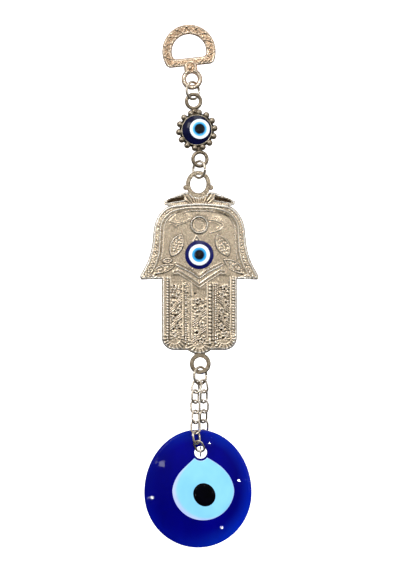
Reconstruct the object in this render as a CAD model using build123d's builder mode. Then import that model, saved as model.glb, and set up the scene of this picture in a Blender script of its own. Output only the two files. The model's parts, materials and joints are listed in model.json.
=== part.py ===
from build123d import *
from math import cos, sin, sqrt, radians
import os

# Hamsa hand ornament, hanging as it does from a nail through its D hanger.
# Millimetres. The front faces -Y, +Z is up, and the origin is the inside top of the D opening.

# General
seat_gap = 0.1
inlay_fit = 0.02
half_turn = 180.0

# Hanger, a flat casting with a D and an eye below it
hanger_arch_radius = 11.25
hanger_opening_radius = 7.2
hanger_bar_drop = 6.05
hanger_bar_width = 3.35
hanger_thickness = 2.0
hanger_corner = 2.4
hanger_opening_corner = 1.5
hanger_edge = 0.35
hanger_lean = 6.0
hanger_eye_drop = 11.75
hanger_eye_bore = 4.8
hanger_eye_rim = 2.0
hanger_eye_thickness = 1.6
hanger_eye_edge = 0.6
hanger_neck_height = 3.4
hanger_neck_width = 5.6
niche_width = 2.8
niche_height = 3.4
niche_depth = 0.6
niche_drop = 6.6

# Jump rings, bent from round wire and cut once
ring_wire = 1.2
ring_wire_sides = 6
ring_turn = 45.0
ring_cut_angle = 3.0
ring_rise = 0.65
top_ring_outer = 8.4
middle_ring_outer = 8.2
bottom_ring_outer = 8.4

# Connector, a beaded cup with a loop at each end
connector_lean = 6.3
connector_shift = 0.7
cup_radius = 7.3
cup_floor = 1.0
cup_wall = 0.45
cup_wall_height = 1.3
cup_eye_fit = 0.06
bead_count = 14
bead_radius = 1.42
bead_sides = 8
bead_flat_angle = 22.5
bead_flat_share = 0.5
bead_circle = 7.48
bead_lift = 0.2
loop_reach = 12.2
loop_bore = 4.3
loop_wire = 1.6
loop_wire_sides = 6
loop_neck_width = 2.6
loop_neck_thickness = 1.4

# Eye cabochons, resin domes with coloured rings let in
eye_radius = 6.0
eye_edge = 1.1
eye_dome = 1.7
eye_inlay_floor = 0.7
glue_radius = 5.4
glue_thickness = 0.15
cup_eye_white = 4.2
cup_eye_iris = 2.85
cup_eye_pupil = 2.05
cup_eye_shift = 1.3
cup_eye_rise = 0.25
palm_eye_white = 4.45
palm_eye_iris = 3.05
palm_eye_pupil = 1.9

# Hand plate, with its bail, wings and lower eye
hand_width = 50.0
hand_height = 63.5
plate_thickness = 2.4
plate_edge = 0.3
field_depth = 0.4
finger_block_width = 31.6
finger_tip_drop = 1.7
finger_corner = 5.4
finger_notch = 6.0
finger_notch_depth = 1.1
thumb_corner = 0.5
bail_rise = 7.95
bail_shift = 0.42
bail_bore_width = 6.7
bail_bore_height = 7.6
bail_rim = 1.75
bail_thickness = 1.6
bail_knob_radius = 1.15
bail_knob_drop = 1.5
bail_edge = 0.4
bail_side_rim = 1.9
bail_knob_reach = 5.3
bail_trunk_width = 12.0
bail_trunk_height = 5.0
bail_trunk_rise = 3.6
bail_trunk_angle = 78.0
wing_reach = 15.2
wing_rise = 4.8
wing_thickness = 1.9
wing_slot_length = 7.2
wing_slot_width = 1.5
wing_slot_depth = 0.9
wing_slot_reach = 9.9
wing_slot_rise = 1.25
wing_slot_tilt = 9.0
field_half_width = 16.0
field_top_drop = 2.4
finger_panel_width = 5.3
finger_panel_reach = 9.9
middle_panel_width = 6.0
palm_eye_drop = 21.8
lower_eye_bore = 5.3
lower_eye_rim = 1.8
lower_eye_thickness = 1.6
lower_eye_edge = 0.5
lower_eye_drop = 4.05
lower_eye_shift = 0.4
lower_eye_neck = 4.6
lower_eye_neck_height = 2.2
lower_eye_neck_overlap = 1.2
medal_drop = 9.1
medal_radius = 3.6
medal_band = 0.5

# Chain of oval links, one length that runs down, through the glass and up again
link_length = 6.35
link_width = 4.54
link_wire = 0.88
link_wire_sides = 6
link_bend_steps = 6
link_gap = 0.32
strand_links = 7
odd_link_turn = -10.0
even_link_turn = 45.0
hole_link_roll = 90.0
strand_stand = 3.6
strand_midline_shift = 0.3
strand_spread = (0.9, 1.8, 1.8, 1.7, 1.65, 1.6, 1.0, -0.2)
chain_slack = 0.3
chain_rise = 0.45
hook_angle = 8.0
hole_shift = 0.17

# Glass disc, egg shaped, with a lens front and a flat back
disc_half_width = 22.6
disc_upper_height = 26.5
disc_lower_height = 23.1
disc_crown = 3.4
disc_back = 1.7
disc_crown_radius = 130.0
disc_front_edge = 0.9
disc_back_edge = 0.9
disc_hole = 5.2
disc_hole_mouth = 1.45
disc_hole_rise = 17.0
disc_hole_shift = 1.15
iris_radius = 13.0
iris_shift = 0.7
iris_drop = 15.9
iris_neck_width = 5.8
iris_neck_drop = 2.3
iris_root_width = 14.8
iris_root_reach = 10.5
iris_hole_clearance = 0.15
iris_stand = 0.5
iris_sink = 1.1
iris_edge = 0.35
pupil_half_width = 4.6
pupil_half_height = 4.9
pupil_shift = 1.3
pupil_drop = 17.6
pupil_stand = 0.6
pupil_sink = 0.6
pupil_edge = 0.35


def facing(x, z, lean=0.0, y=0.0):
    """A plane that faces the viewer, with its own up tilted anticlockwise from +Z."""
    return Plane(
        origin=(x, y, z),
        x_dir=(cos(radians(lean)), 0, sin(radians(lean))),
        z_dir=(0, -1, 0),
    )


def save(part, name):
    part.label = name
    export_step(part, f"parts/{name}.step")


os.makedirs("parts", exist_ok=True)

# Places of the rings and of what hangs on them, from the hanger down
hanger_centre_z = -hanger_opening_radius
hanger_plane = facing(0, hanger_centre_z, hanger_lean)
hanger_eye_x = hanger_eye_drop * sin(radians(hanger_lean))
hanger_eye_z = hanger_centre_z - hanger_eye_drop * cos(radians(hanger_lean))

top_ring_x = hanger_eye_x + connector_shift / 2
top_ring_z = hanger_eye_z - hanger_eye_bore / 2 + ring_rise - top_ring_outer / 2 + ring_wire
top_loop_x = hanger_eye_x + connector_shift
top_loop_z = top_ring_z - top_ring_outer / 2 + ring_wire + ring_rise - loop_bore / 2
connector_x = top_loop_x + loop_reach * sin(radians(connector_lean))
connector_z = top_loop_z - loop_reach * cos(radians(connector_lean))
connector_plane = facing(connector_x, connector_z, connector_lean)
bottom_loop_x = connector_x + loop_reach * sin(radians(connector_lean))
bottom_loop_z = connector_z - loop_reach * cos(radians(connector_lean))

middle_ring_x = bottom_loop_x - connector_shift / 2
middle_ring_z = bottom_loop_z - loop_bore / 2 + ring_rise - middle_ring_outer / 2 + ring_wire
bail_x = bottom_loop_x - connector_shift
bail_z = middle_ring_z - middle_ring_outer / 2 + ring_wire + ring_rise - bail_bore_height / 2
hand_x = bail_x + bail_shift
hand_top_z = bail_z - bail_rise
hand_plane = facing(hand_x, hand_top_z)

lower_eye_x = hand_x + lower_eye_shift
lower_eye_z = hand_top_z - hand_height - lower_eye_drop
bottom_ring_x = lower_eye_x
bottom_ring_z = lower_eye_z - lower_eye_bore / 2 + ring_rise - bottom_ring_outer / 2 + ring_wire

# Where each finger's panel starts and ends, as shares of the hand's height
finger_outer_length = hand_height - finger_tip_drop
outer_panel_shares = (0.479, 0.910)
middle_panel_shares = (0.570, 0.943)
finger_panels = (
    (-finger_panel_reach, finger_panel_width, outer_panel_shares),
    (0, middle_panel_width, middle_panel_shares),
    (finger_panel_reach, finger_panel_width, outer_panel_shares),
)


def round_eye(plane, x, y, bore, rim, thickness, edge):
    """A flat ring with its corners taken off, turned about its own axis."""
    centre = plane.from_local_coords((x, y, 0))
    with BuildPart() as ring:
        with BuildSketch(Plane(origin=centre, x_dir=plane.x_dir, z_dir=plane.y_dir)) as section:
            with Locations(((bore + rim) / 2, 0)):
                Rectangle(rim, thickness)
            chamfer(section.vertices(), edge)
        revolve(axis=Axis(centre, plane.z_dir))
    return ring.part


# D hanger
hanger_eye = round_eye(
    hanger_plane,
    0,
    -hanger_eye_drop,
    hanger_eye_bore,
    hanger_eye_rim,
    hanger_eye_thickness,
    hanger_eye_edge,
)
with BuildPart() as hanger:
    with BuildSketch(hanger_plane.offset(-hanger_thickness / 2)) as hanger_outline:
        Circle(hanger_arch_radius)
        with Locations((0, -hanger_bar_drop - hanger_arch_radius)):
            Rectangle(2 * hanger_arch_radius, 2 * hanger_arch_radius, mode=Mode.SUBTRACT)
        fillet(hanger_outline.vertices().group_by(Axis.Y)[0], hanger_corner)
        with Locations((0, -hanger_bar_drop - hanger_neck_height / 2)):
            Rectangle(hanger_neck_width, hanger_neck_height)
    extrude(amount=hanger_thickness)
    with BuildSketch(hanger_plane.offset(-hanger_thickness / 2)) as hanger_opening:
        Circle(hanger_opening_radius)
        with Locations((0, -hanger_bar_drop + hanger_bar_width - hanger_opening_radius)):
            Rectangle(2 * hanger_opening_radius, 2 * hanger_opening_radius, mode=Mode.SUBTRACT)
        fillet(hanger_opening.vertices().group_by(Axis.Y)[0], hanger_opening_corner)
    extrude(amount=hanger_thickness, mode=Mode.SUBTRACT)
    chamfer(hanger.faces().filter_by(Axis.Y).edges(), hanger_edge)
    with BuildSketch(hanger_plane.offset(-hanger_thickness / 2)):
        with Locations((0, -hanger_eye_drop)):
            Circle((hanger_eye_bore + hanger_eye_rim) / 2)
    extrude(amount=hanger_thickness, mode=Mode.SUBTRACT)
    add(hanger_eye)
    with BuildSketch(hanger_plane.offset(hanger_thickness / 2)):
        with Locations((0, -niche_drop)):
            SlotOverall(niche_height, niche_width, rotation=90)
    extrude(amount=-niche_depth, mode=Mode.SUBTRACT)
save(hanger.part, "hanger")


def jump_ring(name, x, z, outer, side):
    """A wire ring in an upright plane, turned about Z; side is 1 where the right limb is in front."""
    across = Vector(cos(radians(ring_turn)), -side * sin(radians(ring_turn)), 0)
    level = Plane(origin=(x, 0, z), x_dir=across, z_dir=(0, 0, 1))
    middle_radius = (outer - ring_wire) / 2
    with BuildPart() as ring:
        with BuildSketch(level):
            with Locations((middle_radius, 0)):
                RegularPolygon(ring_wire / 2, ring_wire_sides, rotation=180 / ring_wire_sides)
        revolve(axis=Axis((x, 0, z), level.y_dir), revolution_arc=360 - ring_cut_angle)
    save(ring.part, name)
    return ring


top_ring = jump_ring("top_jump_ring", top_ring_x, top_ring_z, top_ring_outer, -1)
middle_ring = jump_ring("middle_jump_ring", middle_ring_x, middle_ring_z, middle_ring_outer, 1)
bottom_ring = jump_ring("bottom_jump_ring", bottom_ring_x, bottom_ring_z, bottom_ring_outer, -1)


def faceted_bead(radius):
    """A cast bead around the origin, with flats in place of a ball's surface."""
    with BuildPart() as bead:
        with BuildSketch(Plane.XY):
            RegularPolygon(radius, bead_sides, rotation=180 / bead_sides)
        extrude(amount=radius * cos(radians(bead_flat_angle)), both=True)
        chamfer(bead.faces().filter_by(Axis.Z).edges(), radius * bead_flat_share)
    return bead.part


# Connector cup
with BuildPart() as connector:
    with BuildSketch(connector_plane.offset(-cup_floor)):
        Circle(cup_radius)
    extrude(amount=cup_floor)
    with BuildSketch(connector_plane):
        Circle(eye_radius + cup_eye_fit + cup_wall)
        Circle(eye_radius + cup_eye_fit, mode=Mode.SUBTRACT)
    extrude(amount=cup_wall_height)
    with Locations(connector_plane.offset(bead_lift).location):
        with PolarLocations(bead_circle, bead_count, start_angle=90 + 180 / bead_count):
            add(faceted_bead(bead_radius))
    with BuildSketch(connector_plane):
        Circle(eye_radius + cup_eye_fit)
    extrude(amount=bead_radius + bead_lift, mode=Mode.SUBTRACT)
    for end in (1, -1):
        loop_centre = connector_plane.from_local_coords((0, end * loop_reach, 0))
        loop_plane = Plane(origin=loop_centre, x_dir=connector_plane.x_dir, z_dir=connector_plane.y_dir)
        with BuildSketch(loop_plane):
            with Locations(((loop_bore + loop_wire) / 2, 0)):
                RegularPolygon(loop_wire / 2, loop_wire_sides)
        revolve(axis=Axis(loop_centre, connector_plane.z_dir), revolution_arc=360)
    for end in (1, -1):
        with BuildSketch(connector_plane.offset(-loop_neck_thickness / 2)):
            neck_end = loop_reach - (loop_bore + loop_wire) / 2
            with Locations((0, end * (cup_radius + neck_end) / 2)):
                Rectangle(loop_neck_width, neck_end - cup_radius + cup_wall)
        extrude(amount=loop_neck_thickness)
save(connector.part, "connector_cup")


def eye_cabochon(prefix, plane, white, iris, pupil, shift, rise):
    """A domed eye in five pieces: its glue, the blue base and three rings let into the dome."""
    dome_radius = (eye_radius**2 + eye_dome**2) / (2 * eye_dome)
    dome_centre = glue_thickness + eye_edge + eye_dome - dome_radius
    floor = glue_thickness + eye_inlay_floor
    height = eye_edge + eye_dome

    with BuildPart() as glue:
        with BuildSketch(plane):
            Circle(glue_radius)
        extrude(amount=glue_thickness)
    save(glue.part, f"{prefix}_glue")

    def ring_piece(name, from_height, outer, inner, centre, pocket):
        with BuildPart() as piece:
            with BuildSketch(plane.offset(from_height)):
                with Locations(centre):
                    Circle(outer)
                    if inner:
                        Circle(inner, mode=Mode.SUBTRACT)
            extrude(amount=height)
            with Locations(plane.offset(dome_centre).location):
                Sphere(dome_radius, mode=Mode.INTERSECT)
            if pocket:
                with BuildSketch(plane.offset(floor)):
                    with Locations((shift, rise)):
                        Circle(pocket)
                extrude(amount=height, mode=Mode.SUBTRACT)
        save(piece.part, name)
        return piece

    base = ring_piece(f"{prefix}_base", glue_thickness, eye_radius, 0, (0, 0), white)
    white_ring = ring_piece(f"{prefix}_white_ring", floor, white - inlay_fit, iris, (shift, rise), 0)
    iris_ring = ring_piece(f"{prefix}_iris_ring", floor, iris - inlay_fit, pupil, (shift, rise), 0)
    pupil_dot = ring_piece(f"{prefix}_pupil", floor, pupil - inlay_fit, 0, (shift, rise), 0)
    return [glue, base, white_ring, iris_ring, pupil_dot]


cup_eye = eye_cabochon(
    "connector_eye",
    connector_plane,
    cup_eye_white,
    cup_eye_iris,
    cup_eye_pupil,
    cup_eye_shift,
    cup_eye_rise,
)

# Hand plate: half outlines from the middle of the palm's top, as shares of half the width and of the height
shoulder_shares = (
    (0.28, 0.005),
    (0.528, 0.024),
    (0.676, 0.077),
    (0.756, 0.153),
    (0.778, 0.224),
    (0.798, 0.291),
)
thumb_shares = ((0.862, 0.381), (0.996, 0.484), (0.984, 0.508))
thumb_under_share = 0.503
field_shares = (
    (0.344, 0.041),
    (0.656, 0.057),
    (0.90, 0.105),
    (1.0, 0.186),
    (1.019, 0.280),
    (1.08, 0.378),
    (1.256, 0.468),
)
leaf_shares = ((0.912, 0.446), (0.612, 0.400))
chevron_point_share = 0.480
wing_shares = (
    (0.2, 1.0),
    (0.42, 0.93),
    (0.66, 0.62),
    (1.0, 0.12),
    (0.967, -0.18),
    (0.75, -0.36),
    (0.2, -0.36),
)


def hand_point(share):
    return (share[0] * hand_width / 2, -share[1] * hand_height)


def field_point(share):
    return (share[0] * field_half_width, -share[1] * hand_height)


thumb_under = -thumb_under_share * hand_height
shoulder_points = [hand_point(share) for share in shoulder_shares]
thumb_points = [hand_point(share) for share in thumb_shares]
thumb_run = Vector(*thumb_points[1]) - Vector(*thumb_points[0])
field_points = [field_point(share) for share in field_shares]
lower_eye_neck_top = lower_eye_neck_overlap - hand_height
lower_eye_y = -hand_height - lower_eye_drop
lower_eye = round_eye(
    hand_plane,
    lower_eye_shift,
    lower_eye_y,
    lower_eye_bore,
    lower_eye_rim,
    lower_eye_thickness,
    lower_eye_edge,
)

with BuildPart() as hand:
    with BuildSketch(hand_plane.offset(-plate_thickness / 2)) as hand_outline:
        with BuildLine():
            side = Spline((0, 0), *shoulder_points, *thumb_points[:-1], tangents=((1, 0), thumb_run))
            Polyline(side @ 1, thumb_points[-1], (finger_block_width / 2, thumb_under), (0, thumb_under))
            mirror(about=Plane.YZ)
        make_face()
        across_hand = hand_outline.vertices().sort_by(Axis.X)
        fillet(across_hand[:2] + across_hand[-2:], thumb_corner)
        with Locations((0, (thumb_under - finger_outer_length) / 2)):
            Rectangle(finger_block_width, finger_outer_length + thumb_under)
        fillet(hand_outline.vertices().group_by(Axis.Y)[0], finger_corner)
        with BuildLine():
            notch_y = finger_notch_depth - finger_outer_length
            ThreePointArc((-finger_notch, notch_y), (0, -hand_height), (finger_notch, notch_y))
            Line((finger_notch, notch_y), (-finger_notch, notch_y))
        make_face()
    extrude(amount=plate_thickness)
    chamfer(hand.faces().sort_by(Axis.Y)[0].edges(), plate_edge)

    # Bail, its knobs, the wings and the lower eye
    with BuildSketch(hand_plane.offset(-bail_thickness / 2)):
        with Locations((-bail_shift, bail_rise)):
            Ellipse(bail_bore_width / 2 + bail_side_rim, bail_bore_height / 2 + bail_rim)
        with Locations((0, bail_trunk_rise - bail_trunk_height / 2)):
            Trapezoid(bail_trunk_width, bail_trunk_height, bail_trunk_angle)
        with Locations((lower_eye_shift / 2, lower_eye_neck_top - lower_eye_neck_height / 2)):
            Rectangle(lower_eye_neck, lower_eye_neck_height)
    extrude(amount=bail_thickness)
    with BuildSketch(hand_plane.offset(-bail_thickness / 2)):
        with Locations((-bail_shift, bail_rise)):
            Ellipse(bail_bore_width / 2, bail_bore_height / 2)
        with Locations((lower_eye_shift, lower_eye_y)):
            Circle((lower_eye_bore + lower_eye_rim) / 2)
    extrude(amount=bail_thickness, mode=Mode.SUBTRACT)
    bail_rims = hand.edges().filter_by(lambda e: e.center().Z > hand_top_z + bail_trunk_rise)
    bail_rims = bail_rims.filter_by(lambda e: abs(abs(e.center().Y) - bail_thickness / 2) < seat_gap)
    chamfer(bail_rims, bail_edge)
    add(lower_eye)
    with BuildSketch(hand_plane.offset(-bail_thickness / 2)):
        with BuildLine():
            Polyline([(share[0] * wing_reach, share[1] * wing_rise) for share in wing_shares], close=True)
        make_face()
        mirror(about=Plane.YZ)
    extrude(amount=wing_thickness)
    with Locations(hand_plane.location):
        for side_sign in (1, -1):
            with Locations((side_sign * bail_knob_reach - bail_shift, bail_rise - bail_knob_drop)):
                add(faceted_bead(bail_knob_radius))

    # Recesses in the front: wing slots, palm field and finger panels, with the round medal left standing
    with BuildSketch(hand_plane.offset(wing_thickness - bail_thickness / 2)):
        for side_sign in (1, -1):
            with Locations((side_sign * wing_slot_reach, wing_slot_rise)):
                Rectangle(wing_slot_length, wing_slot_width, rotation=-side_sign * wing_slot_tilt)
    extrude(amount=-wing_slot_depth, mode=Mode.SUBTRACT)
    with BuildSketch(hand_plane.offset(plate_thickness / 2)):
        with BuildLine():
            top = ThreePointArc((0, -field_top_drop), field_points[0], field_points[1])
            bend = ThreePointArc(top @ 1, field_points[2], field_points[3])
            edge = Line(bend @ 1, field_points[4])
            sweep_out = ThreePointArc(edge @ 1, field_points[5], field_points[6])
            leaf = ThreePointArc(sweep_out @ 1, field_point(leaf_shares[0]), field_point(leaf_shares[1]))
            Line(leaf @ 1, (0, -chevron_point_share * hand_height))
            mirror(about=Plane.YZ)
        make_face()
        for x, width, (start, end) in finger_panels:
            with Locations((x, -hand_height * (start + end) / 2)):
                SlotOverall(hand_height * (end - start), width, rotation=90)
    extrude(amount=-field_depth, mode=Mode.SUBTRACT)
    with BuildSketch(hand_plane.offset(plate_thickness / 2 - field_depth)):
        with Locations((0, -medal_drop)):
            Circle(medal_radius)
            Circle(medal_radius - medal_band, mode=Mode.SUBTRACT)
    extrude(amount=field_depth)
save(hand.part, "hand_plate")

palm_plane = facing(hand_x, hand_top_z - palm_eye_drop).offset(plate_thickness / 2 - field_depth)
palm_eye = eye_cabochon("palm_eye", palm_plane, palm_eye_white, palm_eye_iris, palm_eye_pupil, 0, 0)

# Chain. A pivot lies half way between two crossing wires; level 0 is at the ring, the last in the glass
link_pitch = link_length - 2 * link_wire - link_gap
link_bend = (link_width - link_wire) / 2
crossing = (link_wire + link_gap) / 2
rounds = range(strand_links + 1)
stand_level = strand_links - 2
ring_radius = (bottom_ring_outer - ring_wire) / 2
start_along = strand_spread[0] / cos(radians(ring_turn))
start_y = start_along * sin(radians(ring_turn))
ring_bottom_z = bottom_ring_z - sqrt(ring_radius**2 - start_along**2)
start_z = ring_bottom_z + (ring_wire + link_wire) / 2 + chain_rise - crossing
end_share = crossing / link_pitch
hook_reach = link_bend - link_wire - link_gap
hook_depth = (link_length - link_width) / 2 + hook_reach * cos(radians(hook_angle))
end_y = (hook_depth + end_share * strand_stand) / (1 + end_share)
pivot_depths = [start_y + (strand_stand - start_y) * min(i, stand_level) / stand_level for i in rounds]
hole_x = bottom_ring_x + hole_shift
midline = [bottom_ring_x] + [bottom_ring_x - strand_midline_shift] * (strand_links - 1) + [hole_x]


def strand(side, slack):
    """The pivots of one strand from the ring down; side is -1 in front and 1 behind."""
    depths = pivot_depths[:-1] + [end_y - slack]
    points = [Vector(midline[0] + side * strand_spread[0], side * depths[0], start_z)]
    for i in rounds[1:]:
        x = midline[i] + side * strand_spread[i]
        y = side * depths[i]
        drop = sqrt(link_pitch**2 - (x - points[-1].X) ** 2 - (y - points[-1].Y) ** 2)
        points.append(Vector(x, y, points[-1].Z - drop))
    return points


def link(name, centre, up, across):
    """An oval link, swept round its own opening in short straight lengths."""
    straight = (link_length - link_width) / 2
    level = Plane(origin=centre, x_dir=across, z_dir=across.cross(up))
    turns = [180 * i / link_bend_steps for i in range(link_bend_steps + 1)]
    upper = [(link_bend * cos(radians(t)), straight + link_bend * sin(radians(t))) for t in turns]
    lower = [(-x, -y) for x, y in upper]
    with BuildPart() as piece:
        with BuildLine(level) as route:
            Polyline((link_bend, 0), *upper, *lower, close=True)
        with BuildSketch(Plane(origin=route.line @ 0, x_dir=across, z_dir=up)):
            RegularPolygon(link_wire / 2, link_wire_sides)
        sweep(path=route.wires()[0], transition=Transition.RIGHT)
    save(piece.part, name)
    return piece


def strand_of_links(prefix, points):
    links = []
    for i in range(strand_links):
        up = (points[i] - points[i + 1]).normalized()
        centre = (points[i] + points[i + 1]) / 2
        turn = radians(even_link_turn if i % 2 else odd_link_turn)
        lateral = Vector(cos(turn), sin(turn), 0)
        across = (lateral - up * lateral.dot(up)).normalized()
        links.append(link(f"{prefix}_chain_link_{i + 1}", centre, up, across))
    return links


front_points = strand(-1, 0)
back_points = strand(1, chain_slack)
front_links = strand_of_links("front", front_points)
back_links = strand_of_links("back", back_points)

# The link that lies in the glass, and the hole that rests on it
hole_link_z = front_points[-1].Z - crossing - hook_reach * sin(radians(hook_angle))
hole_link_across = Vector(cos(radians(hole_link_roll)), 0, sin(radians(hole_link_roll)))
hole_link = link("hole_chain_link", Vector(hole_x, 0, hole_link_z), Vector(0, 1, 0), hole_link_across)
reach = disc_hole / 2 - link_wire / 2 - seat_gap
hole_link_rise = sqrt(reach**2 - (link_bend * hole_link_across.X) ** 2) - link_bend * hole_link_across.Z
hole_z = hole_link_z - hole_link_rise

# Glass disc with its iris and pupil
disc_plane = facing(hole_x - disc_hole_shift, hole_z - disc_hole_rise)
hole_plane = facing(hole_x, hole_z)


def crown_ball(stand):
    """The ball whose surface is the disc's front, raised by a stand."""
    with BuildPart() as ball:
        with Locations(disc_plane.offset(disc_crown - disc_crown_radius).location):
            Sphere(disc_crown_radius + stand)
    return ball.part


def iris_face(grow):
    """The outline of the iris: a circle with a neck that reaches up to the hole's mouth."""
    with BuildSketch(hole_plane.offset(disc_crown - iris_sink)) as face:
        with Locations((iris_shift, -iris_drop)):
            Circle(iris_radius + grow)
        with BuildLine():
            root_x = iris_root_width / 2 + grow
            root_y = iris_root_reach - iris_drop
            neck_x = iris_neck_width / 2 + grow
            Polyline(
                (iris_shift - root_x, root_y),
                (-neck_x, -iris_neck_drop),
                (neck_x, -iris_neck_drop),
                (iris_shift + root_x, root_y),
                close=True,
            )
        make_face()
        Circle(disc_hole / 2 + disc_hole_mouth + iris_hole_clearance - grow, mode=Mode.SUBTRACT)
    return face.sketch


def pupil_face(grow):
    with BuildSketch(hole_plane.offset(disc_crown + iris_stand - pupil_sink)) as face:
        with Locations((pupil_shift, -pupil_drop)):
            Ellipse(pupil_half_width + grow, pupil_half_height + grow)
    return face.sketch


with BuildPart() as disc:
    with BuildSketch(disc_plane.offset(-disc_back)):
        with BuildLine():
            EllipticalCenterArc((0, 0), disc_half_width, disc_upper_height, arc_size=half_turn)
            EllipticalCenterArc((0, 0), disc_half_width, disc_lower_height, half_turn, arc_size=half_turn)
        make_face()
    extrude(amount=disc_back + disc_crown)
    add(crown_ball(0), mode=Mode.INTERSECT)
    chamfer(disc.faces().sort_by(Axis.Y)[-1].edges(), disc_back_edge)
    chamfer(disc.faces().sort_by(Axis.Y)[0].edges(), disc_front_edge)
    with BuildSketch(hole_plane.offset(-disc_back)):
        Circle(disc_hole / 2)
    extrude(amount=disc_back + disc_crown, mode=Mode.SUBTRACT)
    mouths = disc.edges().filter_by(lambda e: (e.center() - hole_plane.origin).length < disc_hole)
    mouths = mouths.filter_by(lambda e: e.length > disc_hole and abs(e.center().Y) > disc_back / 2)
    chamfer(mouths, disc_hole_mouth)
    extrude(iris_face(inlay_fit), amount=iris_sink, mode=Mode.SUBTRACT)
save(disc.part, "glass_disc")

with BuildPart() as iris:
    extrude(iris_face(0), amount=iris_sink + iris_stand)
    add(crown_ball(iris_stand), mode=Mode.INTERSECT)
    chamfer(iris.faces().sort_by(Axis.Y)[0].edges(), iris_edge)
    extrude(pupil_face(inlay_fit), amount=pupil_sink, mode=Mode.SUBTRACT)
save(iris.part, "glass_iris")

with BuildPart() as pupil:
    extrude(pupil_face(0), amount=pupil_sink + pupil_stand)
    add(crown_ball(iris_stand + pupil_stand), mode=Mode.INTERSECT)
    chamfer(pupil.faces().sort_by(Axis.Y)[0].edges(), pupil_edge)
save(pupil.part, "glass_pupil")
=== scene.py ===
import json
import math

import bmesh
import bpy
import numpy as np
from mathutils import Matrix, Vector
from mathutils.bvhtree import BVHTree


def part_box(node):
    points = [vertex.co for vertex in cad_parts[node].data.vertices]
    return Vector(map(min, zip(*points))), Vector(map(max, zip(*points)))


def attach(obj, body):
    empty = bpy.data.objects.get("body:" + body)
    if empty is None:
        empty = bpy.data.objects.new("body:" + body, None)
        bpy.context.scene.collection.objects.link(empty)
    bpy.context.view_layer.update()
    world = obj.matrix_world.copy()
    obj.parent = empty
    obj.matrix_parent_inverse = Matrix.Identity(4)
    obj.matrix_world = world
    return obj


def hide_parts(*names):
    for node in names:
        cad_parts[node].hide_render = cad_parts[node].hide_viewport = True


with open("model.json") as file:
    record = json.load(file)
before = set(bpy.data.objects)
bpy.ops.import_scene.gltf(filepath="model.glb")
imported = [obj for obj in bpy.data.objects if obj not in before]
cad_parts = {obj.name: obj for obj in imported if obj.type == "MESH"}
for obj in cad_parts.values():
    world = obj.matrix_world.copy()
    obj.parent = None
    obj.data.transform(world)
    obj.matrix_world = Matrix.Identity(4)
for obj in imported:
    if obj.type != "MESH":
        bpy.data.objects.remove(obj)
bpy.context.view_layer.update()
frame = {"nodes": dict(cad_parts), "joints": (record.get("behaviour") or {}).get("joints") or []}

# Hamsa hand ornament. Lengths are in millimetres, and MM makes them the metres of the scene.
MM = 0.001
QUARTER, TURN = math.pi / 2, 2 * math.pi
joint_at = {j["name"]: Vector(j["pos_m"]) / MM for j in frame["joints"]}

# Where the castings and the glass hang, from the joints of the frame
BAIL_SHIFT, BAIL_RISE = 0.42, 7.95
hand_origin = Vector((joint_at["hand_swing"].x + BAIL_SHIFT, 0, joint_at["hand_swing"].z - BAIL_RISE))
hanger_centre = Vector((0, 0, -7.2))
hanger_lean, connector_lean = math.radians(6.0), math.radians(6.3)
CUP_REACH = 12.2
cup_up = Vector((-math.sin(connector_lean), 0, math.cos(connector_lean)))
cup_across = Vector((math.cos(connector_lean), 0, math.sin(connector_lean)))
cup_centre = joint_at["connector_swing"] - CUP_REACH * cup_up
hole_at = joint_at["disc_swing"]


# ---------------------------------------------------------------- nodes and finishes

def wired(tree, kind, feeds, out=0, **settings):
    """Adds a node, gives each input named or numbered a socket or a fixed value, and returns one output."""
    node = tree.nodes.new(kind)
    for key, value in settings.items():
        setattr(node, key, value)
    for target, source in feeds.items():
        if hasattr(source, "links"):
            tree.links.new(source, node.inputs[target])
        else:
            node.inputs[target].default_value = source
    return node.outputs[out]


def colour_ramp(tree, source, stops):
    node = tree.nodes.new("ShaderNodeValToRGB")
    band = node.color_ramp
    while len(band.elements) < len(stops):
        band.elements.new(0.5)
    for element, (at, colour) in zip(band.elements, stops):
        element.position, element.color = at, colour
    tree.links.new(source, node.inputs["Fac"])
    return node.outputs["Color"]


def shades(*seen):
    """Colours as the eye sees them, 0 to 255, in the linear values of a shader."""
    return [
        tuple(((c / 255 + 0.055) / 1.055) ** 2.4 if c > 10 else c / 255 / 12.92 for c in colour) + (1.0,)
        for colour in seen
    ]


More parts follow.
